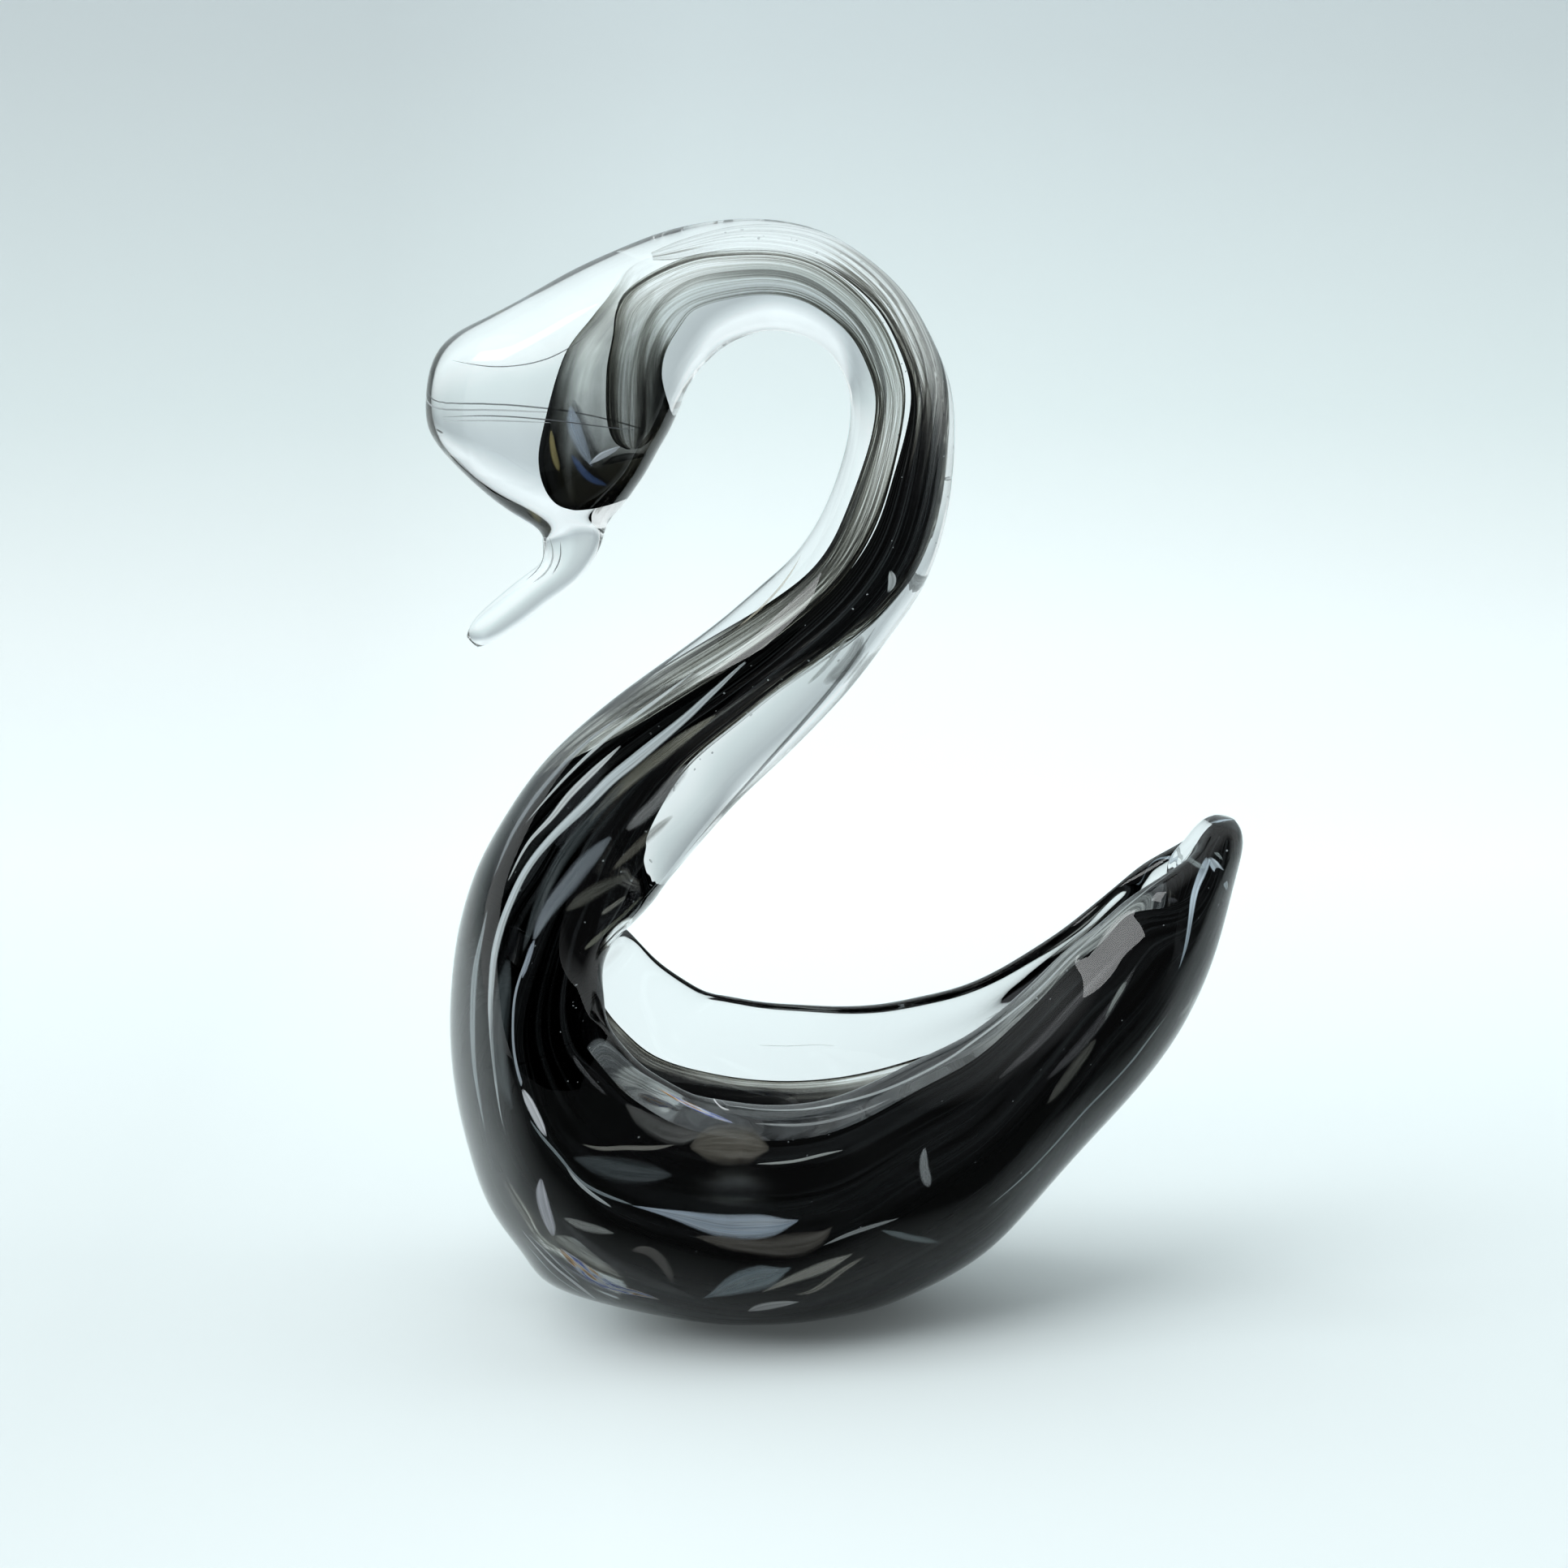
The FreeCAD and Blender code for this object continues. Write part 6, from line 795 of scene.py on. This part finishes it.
def blob(x, z, x0, z0, rx, rz, deg=0.0, p=1.0):
    a = math.radians(deg); c, s = math.cos(a), math.sin(a)
    dx, dz = x - x0, z - z0
    q = ((dx * c + dz * s) / rx) ** 2 + ((-dx * s + dz * c) / rz) ** 2
    return np.exp(-q ** p)


rim_x = np.array([r[2] for r in RIBS[2:30]]); rim_z = np.array([r[3] for r in RIBS[2:30]])


def under_rim(x, y, z):
    """distance below the rim line, in the XZ plane"""
    d = np.full(len(x), 1e9)
    for a, b in zip(rim_x, rim_z):
        d = np.minimum(d, np.hypot(x - a, z - b))
    return d


def step(a, b, x):
    t = np.clip((x - a) / (b - a), 0, 1)
    return t * t * (3 - 2 * t)


# the breast is clear glass in front of this line, z against x
BREAST_Z = [0.0, 6.0, 12.0, 17.0, 21.0, 26.0, 31.0, 36.0, 42.0, 48.0, 55.0, 62.0, 70.0, 78.0, 88.0, 97.0, 106.0]
BREAST_X = [-27.0, -29.0, -32.0, -34.0, -41.0, -46.0, -51.0, -53.5, -55.0, -54.5, -53.0, -51.0, -48.0, -44.5, -38.5, -31.0, -23.0]


def across(x, z):
    """place across the rear rod, -0.5 at its front edge to 0.5 at its back edge"""
    best = np.full(len(x), 1e9); s = np.zeros(len(x))
    rows = resample(np.array([r[:4] for r in REAR_ROD], float), np.linspace(0, len(REAR_ROD) - 1, 8 * len(REAR_ROD)))
    for ax, az, bx, bz in rows:
        w = math.hypot(bx - ax, bz - az); dx, dz = (bx - ax) / w, (bz - az) / w
        along = (x - (ax + bx) / 2) * dx + (z - (az + bz) / 2) * dz
        off = np.abs(-(x - (ax + bx) / 2) * dz + (z - (az + bz) / 2) * dx)
        off = off + 1e3 * (np.abs(along) > w)
        m = off < best
        best = np.where(m, off, best); s = np.where(m, along / w, s)
    return s


def gather(x, y, z):
    """how thin the smoke is: bowl, breast, then the rear rod up the neck and over"""
    d = under_rim(x, y, z)
    near, far = (y < 0), (y > 0)
    body = step(78, 66, z) + 0 * x
    neck = 1 - body
    t = -0.42 * body
    # wisps at the top edge of the smoke, wide on the far wall
    t += body * (0.42 * near * np.exp(-(d / 7.0) ** 2) + 0.90 * far * np.exp(-(d / 7.0) ** 2)) * step(-46, -38, x)
    t += body * far * 0.46 * np.exp(-((d - 13.0) / 9.0) ** 2) * step(-46, -38, x) * step(62, 50, x)
    # clear breast and the clear wedge of the foot below it
    line = np.interp(z, BREAST_Z, BREAST_X)
    t += (0.40 + 0.35 * step(26, 48, z) + 0.28 * step(16, 9, z)) * step(line + 1.2, line - 0.8, x) * step(106, 98, z)
    t += 0.25 * blob(x, z, -33, 9, 9, 5, -25, 1.5)
    t += near * 0.62 * blob(x, z, -17, 30.5, 7, 3.5, 0, 1.5)
    t += near * 0.30 * blob(x, z, 6, 35, 16, 2.5, 20)
    t += near * 0.35 * blob(x, z, -8, 17, 12, 3.0, 6)
    t += 0.45 * blob(x, z, 12, 9, 10, 3.0, 25)
    # thin strip behind the tail's keel line
    t += 0.40 * blob(x, z, 46, 40, 14, 3.0, 52)
    # the rear rod: darkest on the way up, thinning over the arch
    t += neck * (-0.34 + 0.22 * step(66, 110, z) + 0.24 * step(132, 165, z) + 0.40 * step(0.12, 0.47, across(x, z)) * step(78, 96, z))
    t += 0.30 * neck * step(168, 176, z) * step(8, -8, x)
    t -= 0.12 * neck * blob(x, z, 8, 118, 8, 22, 0)
    t += 0.25 * neck * near * blob(x, z, -30, 78, 10, 12, 45)
    t += 0.30 * near * blob(x, z, -40, 22, 9, 8)
    t += 0.85 * near * blob(x, z, -32.5, 74, 13, 4.2, 47, 1.4)
    m = 0.55 + 0.25 * near * step(-30, 30, x) + 0.5 * neck
    return t, m


def front_thin(x, y, z):
    t = -0.01 + 0.045 * step(80, 100, z) + 0.14 * step(70, 50, z) + 0.10 * step(150, 168, z) * step(10, -20, x)
    t -= 0.10 * blob(x, z, 2, 120, 8, 20, -30)
    return t, 0.6


def bulb_thin(x, y, z):
    t = -0.45 * blob(x, z, -37, 139, 8, 6) - 0.35 * blob(x, z, -28, 146, 3.5, 9, 0) + 0.10 * blob(x, z, -38, 155, 7, 8)
    t -= 0.22 * blob(x, z, -46, 145, 3.0, 9)
    t += 0.90 * step(-31, -21, x) * step(153, 162, z) + 0.25 * step(-40, -29, x) * step(156, 166, z)
    return t, 0.5 * step(-24, -34, x)


paint_thin(lining, gather); paint_thin(rear, gather); paint_thin(front, front_thin); paint_thin(bulb, bulb_thin)
SMOKE = [(0.0, (0.004, 0.004, 0.0045, 1)), (0.30, (0.035, 0.034, 0.034, 1)), (0.55, (0.20, 0.19, 0.175, 1)), (0.80, (0.58, 0.57, 0.54, 1)), (1.0, (0.97, 0.97, 0.97, 1))]
PALE = [(0.0, (0.03, 0.03, 0.03, 1)), (0.30, (0.16, 0.155, 0.14, 1)), (0.55, (0.45, 0.44, 0.41, 1)), (0.80, (0.78, 0.78, 0.76, 1)), (1.0, (0.98, 0.98, 0.98, 1))]
BULB_ = [(0.0, (0.03, 0.028, 0.02, 1)), (0.35, (0.25, 0.25, 0.24, 1)), (0.62, (0.56, 0.56, 0.55, 1)), (0.82, (0.74, 0.74, 0.72, 1)), (1.0, (0.99, 0.99, 0.99, 1))]
dark_mat = smoke_glass("smoke_dark", SMOKE, (9, 24), 3.0, 0.65, 1.25)
pale_mat = smoke_glass("smoke_pale", PALE, (6, 14), 23.0, 0.55, 1.9)
bulb_mat = smoke_glass("smoke_bulb", BULB_, (25, 3), 31.0, 0.6, 0.9)
joint_mat = joint_glass()
for o, mt in ((lining, dark_mat), (rear, dark_mat), (front, pale_mat), (bulb, bulb_mat)):
    o.data.materials.append(mt); o.data.materials.append(joint_mat)
skin.data.materials.append(skin.data.materials[0])

on = {}
on["bowl"] = mesh_points(lining); on["rear"] = mesh_points(rear); on["front"] = mesh_points(front)
both = tuple(np.concatenate([on["bowl"][k], on["rear"][k]]) for k in (0, 1))
on["bowl"] = on["rear"] = both; on["skin"] = mesh_points(skin); on["bulb"] = mesh_points(bulb)
streak_and_highlight_films = films("glass_streaks_and_painted_highlights", [s for s in STREAKS_AND_PAINTED_LIGHT if s[2] == "streak_and_painted_light"], on)
streak_and_highlight_films.data.materials.append(film_glass("milky_film_and_painted_highlights"))
painted_rainbow_films = films("foot_painted_rainbow_glints", [s for s in STREAKS_AND_PAINTED_LIGHT if s[2] == "painted_rainbow"], on)
painted_rainbow_films.data.materials.append(film_glass("painted_rainbow_glint_film", True))


def bubbles(name, count, seed):
    """seed bubbles caught in the clear glass, drawn out a little along the pull"""
    rng = np.random.default_rng(seed)
    P0, N0 = both
    verts, faces = [], []
    import bmesh
    bm = bmesh.new()
    k = 0
    while k < count:
        i = int(rng.integers(len(P0)))
        p, n = P0[i], N0[i]
        if p[2] > 80 and rng.random() < 0.6:
            continue
        q = p + n * rng.uniform(0.25, 0.9)
        rr = float(rng.choice([0.09, 0.12, 0.16, 0.24], p=[0.5, 0.3, 0.15, 0.05]))
        res = bmesh.ops.create_icosphere(bm, subdivisions=1, radius=rr * MM)
        st = rng.uniform(1.0, 2.2)
        d = np.array([0.8, 0.0, 0.6]); d = d - n * d.dot(n); d /= max(1e-6, np.linalg.norm(d))
        for v in res["verts"]:
            c = np.array(v.co)
            c = c + d * c.dot(d) * (st - 1)
            v.co = Vector(c + q * MM)
        k += 1
    me = bpy.data.meshes.new(name); bm.to_mesh(me); bm.free()
    me.polygons.foreach_set("use_smooth", [True] * len(me.polygons))
    o = bpy.data.objects.new(name, me); scene.collection.objects.link(o)
    return o


def bubble_mat():
    m, nt, out = new_mat("seed_bubble")
    gl = N(nt, "ShaderNodeBsdfGlossy"); gl.inputs["Roughness"].default_value = 0.25; gl.inputs[0].default_value = (0.85, 0.88, 0.9, 1)
    tr = N(nt, "ShaderNodeBsdfTransparent")
    fr = N(nt, "ShaderNodeLayerWeight"); fr.inputs["Blend"].default_value = 0.35
    nz = N(nt, "ShaderNodeTexNoise"); nz.inputs["Scale"].default_value = 900.0
    tc = N(nt, "ShaderNodeTexCoord"); L(nt, tc.outputs["Object"], nz.inputs["Vector"])
    f = math_node(nt, "ADD", math_node(nt, "MULTIPLY", nz.outputs["Fac"], 0.5), fr.outputs["Facing"], True)
    mx = N(nt, "ShaderNodeMixShader"); L(nt, f, mx.inputs[0]); L(nt, tr.outputs[0], mx.inputs[1]); L(nt, gl.outputs[0], mx.inputs[2])
    L(nt, mx.outputs[0], out.inputs["Surface"])
    return m


seeds = bubbles("seed_bubbles", 320, 11)
seeds.data.materials.append(bubble_mat())

for o, slot in ((skin, "clear_glass"), (lining, "smoke_glass"), (rear, "smoke_glass"), (front, "pale_smoke_glass"), (bulb, "pale_smoke_glass"),
                (streak_and_highlight_films, "clear_glass"), (painted_rainbow_films, "clear_glass"), (seeds, "clear_glass")):
    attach(o, "root")
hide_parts("bowl_casing", "neck_casing", "beak")
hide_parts("bowl_lining")
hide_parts("core_rear")
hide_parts("core_front")
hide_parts("head_bulb")

# ------------------------------------------------------------------ stage
PAPER = (0.80, 0.855, 0.86, 1)
TENT = (0.90, 0.96, 0.97, 1)
# the wall's glow is painted light: WALL_COLS darken it upwards, WALL_SIDE dims it at the sides
WALL_LO, WALL_HI, WALL_GLOW, WALL_SIDE = 0.0, 0.20, 0.53, 0.80
WALL_COLS = [(0.0, (0.60, 0.66, 0.66, 1)), (0.12, (0.60, 0.64, 0.64, 1)), (0.38, (0.34, 0.42, 0.42, 1)), (0.85, (0.16, 0.20, 0.22, 1)), (1.0, (0.14, 0.18, 0.21, 1))]
KEY_AT, KEY_POWER = (-0.40, -0.26, 0.92), 4.5
BOX_AT, BOX_TO, BOX_SIZE, BOX_POWER = (-0.54, -0.51, 0.70), (0.04, -0.01, 0.06), (0.42, 0.30), 1.7
# one sweep: floor, cove, wall
prof = [(-0.9, 0.0), (0.32, 0.0)]
for i in range(1, 17):
    a = math.pi / 2 * i / 16
    prof.append((0.32 + 0.30 * math.sin(a), 0.30 - 0.30 * math.cos(a)))
prof.append((0.62, 1.5))
me = bpy.data.meshes.new("sweep")
W2 = 1.1
vs_, fs_ = [], []
for y, z in prof:
    vs_ += [(-W2, y, z), (W2, y, z)]
for i in range(len(prof) - 1):
    fs_.append((2 * i, 2 * i + 1, 2 * i + 3, 2 * i + 2))
me.from_pydata(vs_, [], fs_)
me.polygons.foreach_set("use_smooth", [True] * len(me.polygons))
sweep = bpy.data.objects.new("sweep", me)
scene.collection.objects.link(sweep)
m, nt, out = new_mat("sweep_paper")
geo = N(nt, "ShaderNodeTexCoord")
sep = N(nt, "ShaderNodeSeparateXYZ"); L(nt, geo.outputs["Object"], sep.inputs[0])
# paper: the floor is lit by the lamps; the wall behind glows with painted light that falls off to the top, the sides
# and the front
hr = N(nt, "ShaderNodeMapRange"); hr.inputs[1].default_value = WALL_LO; hr.inputs[2].default_value = WALL_HI
L(nt, sep.outputs[2], hr.inputs[0])
wr = N(nt, "ShaderNodeValToRGB")
wr.color_ramp.elements[0].position = 0.0; wr.color_ramp.elements[0].color = WALL_COLS[0][1]
wr.color_ramp.elements[1].position = 1.0; wr.color_ramp.elements[1].color = WALL_COLS[-1][1]
for p, col in WALL_COLS[1:-1]:
    e = wr.color_ramp.elements.new(p); e.color = col
L(nt, hr.outputs[0], wr.inputs[0])
# painted shade: the paper's colour and the wall's glow are darker on the left, by about a tenth
left = N(nt, "ShaderNodeMapRange"); left.inputs[1].default_value = -0.125; left.inputs[2].default_value = -0.035
left.inputs[3].default_value = 0.89; L(nt, sep.outputs[0], left.inputs[0])
sx = math_node(nt, "ABSOLUTE", sep.outputs[0], 0.0)
side = N(nt, "ShaderNodeMapRange"); side.inputs[1].default_value = 0.05; side.inputs[2].default_value = 0.32
side.inputs[3].default_value = 1.0; side.inputs[4].default_value = WALL_SIDE; L(nt, sx, side.inputs[0])
up = N(nt, "ShaderNodeMapRange"); up.inputs[1].default_value = 0.02; up.inputs[2].default_value = 0.30
up.inputs[3].default_value = 0.15
L(nt, sep.outputs[1], up.inputs[0])
em = N(nt, "ShaderNodeEmission"); L(nt, wr.outputs[0], em.inputs[0])
L(nt, math_node(nt, "MULTIPLY", left.outputs[0], math_node(nt, "MULTIPLY", math_node(nt, "MULTIPLY", side.outputs[0], up.outputs[0]), WALL_GLOW)), em.inputs[1])
# above what the camera sees the wall is brighter: a lit tent, which the clear glass picks up
hi = N(nt, "ShaderNodeMapRange"); hi.inputs[1].default_value = 0.24; hi.inputs[2].default_value = 0.42; hi.inputs[4].default_value = 0.52
L(nt, sep.outputs[2], hi.inputs[0])
eh = N(nt, "ShaderNodeEmission"); eh.inputs[0].default_value = (0.92, 0.99, 1.0, 1); L(nt, hi.outputs[0], eh.inputs[1])
ae = N(nt, "ShaderNodeAddShader"); L(nt, em.outputs[0], ae.inputs[0]); L(nt, eh.outputs[0], ae.inputs[1])
df = N(nt, "ShaderNodeBsdfDiffuse")
vm = N(nt, "ShaderNodeVectorMath", operation="SCALE"); vm.inputs[0].default_value = PAPER[:3]
L(nt, left.outputs[0], vm.inputs["Scale"]); L(nt, vm.outputs[0], df.inputs[0])
ad = N(nt, "ShaderNodeAddShader"); L(nt, ae.outputs[0], ad.inputs[0]); L(nt, df.outputs[0], ad.inputs[1])
# painted shade for mirror rays: the paper on the camera's side turns black, so the glass reflects a dark room there
lp = N(nt, "ShaderNodeLightPath")
fy = N(nt, "ShaderNodeMapRange"); fy.inputs[1].default_value = 0.0; fy.inputs[2].default_value = -0.05; fy.inputs[4].default_value = 0.93
L(nt, sep.outputs[1], fy.inputs[0])
dk = N(nt, "ShaderNodeBsdfDiffuse"); dk.inputs[0].default_value = (0.0, 0.0, 0.0, 1)
fm = N(nt, "ShaderNodeMixShader")
L(nt, math_node(nt, "MULTIPLY", lp.outputs["Is Reflection Ray"], fy.outputs[0]), fm.inputs[0]); L(nt, ad.outputs[0], fm.inputs[1]); L(nt, dk.outputs[0], fm.inputs[2])
L(nt, fm.outputs[0], out.inputs["Surface"])
me.materials.append(m)


# a round pale room beyond the sweep, only there for a camera that looks past the sweep's edges
room_m = bpy.data.meshes.new("room")
ring_rz = [(0.0, 0.0), (1.0, 0.0), (2.0, 0.0)] + [(2.0 + 0.6 * math.sin(a_), 0.6 - 0.6 * math.cos(a_)) for a_ in (math.pi / 2 * i / 12 for i in range(1, 13))] + [(2.6, 4.0)]
rv = [(0.0, 0.0, -0.0006)]; rf = []
for q_, (rr_, zz_) in enumerate(ring_rz[1:]):
    rv += [(rr_ * math.cos(2 * math.pi * i / 72), rr_ * math.sin(2 * math.pi * i / 72), zz_ - 0.0006) for i in range(72)]
    for i in range(72):
        j = (i + 1) % 72
        if q_ == 0:
            rf.append((0, 1 + i, 1 + j))
        else:
            rf.append((1 + (q_ - 1) * 72 + i, 1 + q_ * 72 + i, 1 + q_ * 72 + j, 1 + (q_ - 1) * 72 + j))
room_m.from_pydata(rv, [], rf)
room_m.polygons.foreach_set("use_smooth", [True] * len(room_m.polygons))
room = bpy.data.objects.new("room", room_m); scene.collection.objects.link(room)
m, nt, out = new_mat("room_paper")
rd = N(nt, "ShaderNodeBsdfDiffuse"); rd.inputs[0].default_value = (0.86, 0.91, 0.915, 1)
L(nt, rd.outputs[0], out.inputs["Surface"])
room_m.materials.append(m)
room.visible_diffuse = False; room.visible_glossy = False; room.visible_transmission = False; room.visible_shadow = False


def area(name, loc, target, size, power, color=(1, 1, 1)):
    d = bpy.data.lights.new(name, "AREA")
    d.shape = "RECTANGLE"; d.size, d.size_y = size
    d.energy = power; d.color = color
    d.cycles.max_bounces = 2
    o = bpy.data.objects.new(name, d)
    o.location = loc
    o.rotation_euler = (Vector(target) - Vector(loc)).to_track_quat("-Z", "Y").to_euler()
    scene.collection.objects.link(o)
    return o


key = area("top_softbox", KEY_AT, (0.0, 0.03, 0.0), (0.9, 0.7), KEY_POWER, (0.95, 0.99, 1.0))
key.data.cycles.use_multiple_importance_sampling = False
side_box = area("side_softbox", BOX_AT, BOX_TO, BOX_SIZE, BOX_POWER, (0.96, 0.99, 1.0))
side_box.visible_transmission = False

# a small black flag keeps the side box out of the breast; the camera and the paper don't see it
aim = Vector((-0.044, -0.022, 0.050)); to = (Vector(BOX_AT) - aim).normalized()
fm_ = bpy.data.meshes.new("flag")
u_ = to.cross(Vector((0, 0, 1))).normalized(); v_ = to.cross(u_).normalized(); c_ = aim + to * 0.05
fm_.from_pydata([tuple(c_ + u_ * a + v_ * b_) for a, b_ in ((-0.036, -0.060), (0.050, -0.060), (0.050, 0.060), (-0.036, 0.060))], [], [(0, 1, 2, 3)])
flag = bpy.data.objects.new("flag", fm_); scene.collection.objects.link(flag)
m, nt, out = new_mat("flag_black")
fl = N(nt, "ShaderNodeBsdfDiffuse"); fl.inputs[0].default_value = (0.01, 0.01, 0.01, 1); L(nt, fl.outputs[0], out.inputs["Surface"])
fm_.materials.append(m)
flag.visible_camera = False; flag.visible_diffuse = False; flag.visible_transmission = False; flag.visible_shadow = False

w = bpy.data.worlds.new("world"); scene.world = w; w.use_nodes = True
nt = w.node_tree
tc = N(nt, "ShaderNodeTexCoord"); sp = N(nt, "ShaderNodeSeparateXYZ"); L(nt, tc.outputs["Generated"], sp.inputs[0])
lp = N(nt, "ShaderNodeLightPath")
# a pale tent all round
tent = N(nt, "ShaderNodeRGB"); tent.outputs[0].default_value = TENT
# mirror rays: the camera's side of the room is dark
ry = N(nt, "ShaderNodeMapRange"); ry.inputs[1].default_value = 0.10; ry.inputs[2].default_value = -0.25; L(nt, sp.outputs[1], ry.inputs[0])
rz = N(nt, "ShaderNodeMapRange"); rz.inputs[1].default_value = 0.95; rz.inputs[2].default_value = 0.6; L(nt, sp.outputs[2], rz.inputs[0])
refl = math_node(nt, "MULTIPLY", lp.outputs["Is Reflection Ray"], math_node(nt, "MULTIPLY", ry.outputs[0], rz.outputs[0]))
# refracted rays: a dark patch beside the camera draws the thin dark edges of the clear glass
dot = math_node(nt, "ADD", math_node(nt, "MULTIPLY", sp.outputs[0], -0.30), math_node(nt, "MULTIPLY", sp.outputs[1], -0.95))
td = N(nt, "ShaderNodeMapRange"); td.inputs[1].default_value = 0.35; td.inputs[2].default_value = 0.75; L(nt, dot, td.inputs[0])
tran = math_node(nt, "MULTIPLY", math_node(nt, "SUBTRACT", 1.0, lp.outputs["Is Reflection Ray"]), math_node(nt, "MULTIPLY", lp.outputs["Is Transmission Ray"], td.outputs[0]))
dk = math_node(nt, "MULTIPLY", math_node(nt, "MAXIMUM", refl, math_node(nt, "MULTIPLY", tran, 0.65)), 0.95, True)
cmx = N(nt, "ShaderNodeMix"); cmx.data_type = "RGBA"
L(nt, dk, cmx.inputs["Factor"])
ca = [s for s in cmx.inputs if s.name == "A" and s.type == "RGBA"][0]; cb = [s for s in cmx.inputs if s.name == "B" and s.type == "RGBA"][0]
L(nt, tent.outputs[0], ca); cb.default_value = (0.02, 0.022, 0.024, 1)
co_ = [s for s in cmx.outputs if s.type == "RGBA"][0]
L(nt, co_, nt.nodes["Background"].inputs[0])
nt.nodes["Background"].inputs[1].default_value = 1.0

# ------------------------------------------------------------------ camera
E = math.radians(13.0); D = 0.700; FPX = 7.6 * 700.0
cam = bpy.data.cameras.new("camera")
cam.sensor_width = 36.0; cam.lens = FPX / 1932.0 * 36.0
co = bpy.data.objects.new("camera", cam)
co.location = (-8.86 * MM, -D * math.cos(E), 88.3 * MM + D * math.sin(E))
co.rotation_euler = (math.pi / 2 - E, 0, 0)
cam.clip_start = 0.01; cam.clip_end = 20
scene.collection.objects.link(co)
scene.camera = co

scene.view_settings.view_transform = "Standard"
scene.view_settings.look = "None"
scene.view_settings.exposure = 0.0
c = scene.cycles
c.max_bounces = 24; c.transmission_bounces = 20; c.glossy_bounces = 8; c.transparent_max_bounces = 48
c.diffuse_bounces = 3; c.volume_bounces = 0
c.caustics_reflective = False; c.caustics_refractive = True
c.blur_glossy = 0.0
c.sample_clamp_indirect = 3.0
c.use_denoising = True
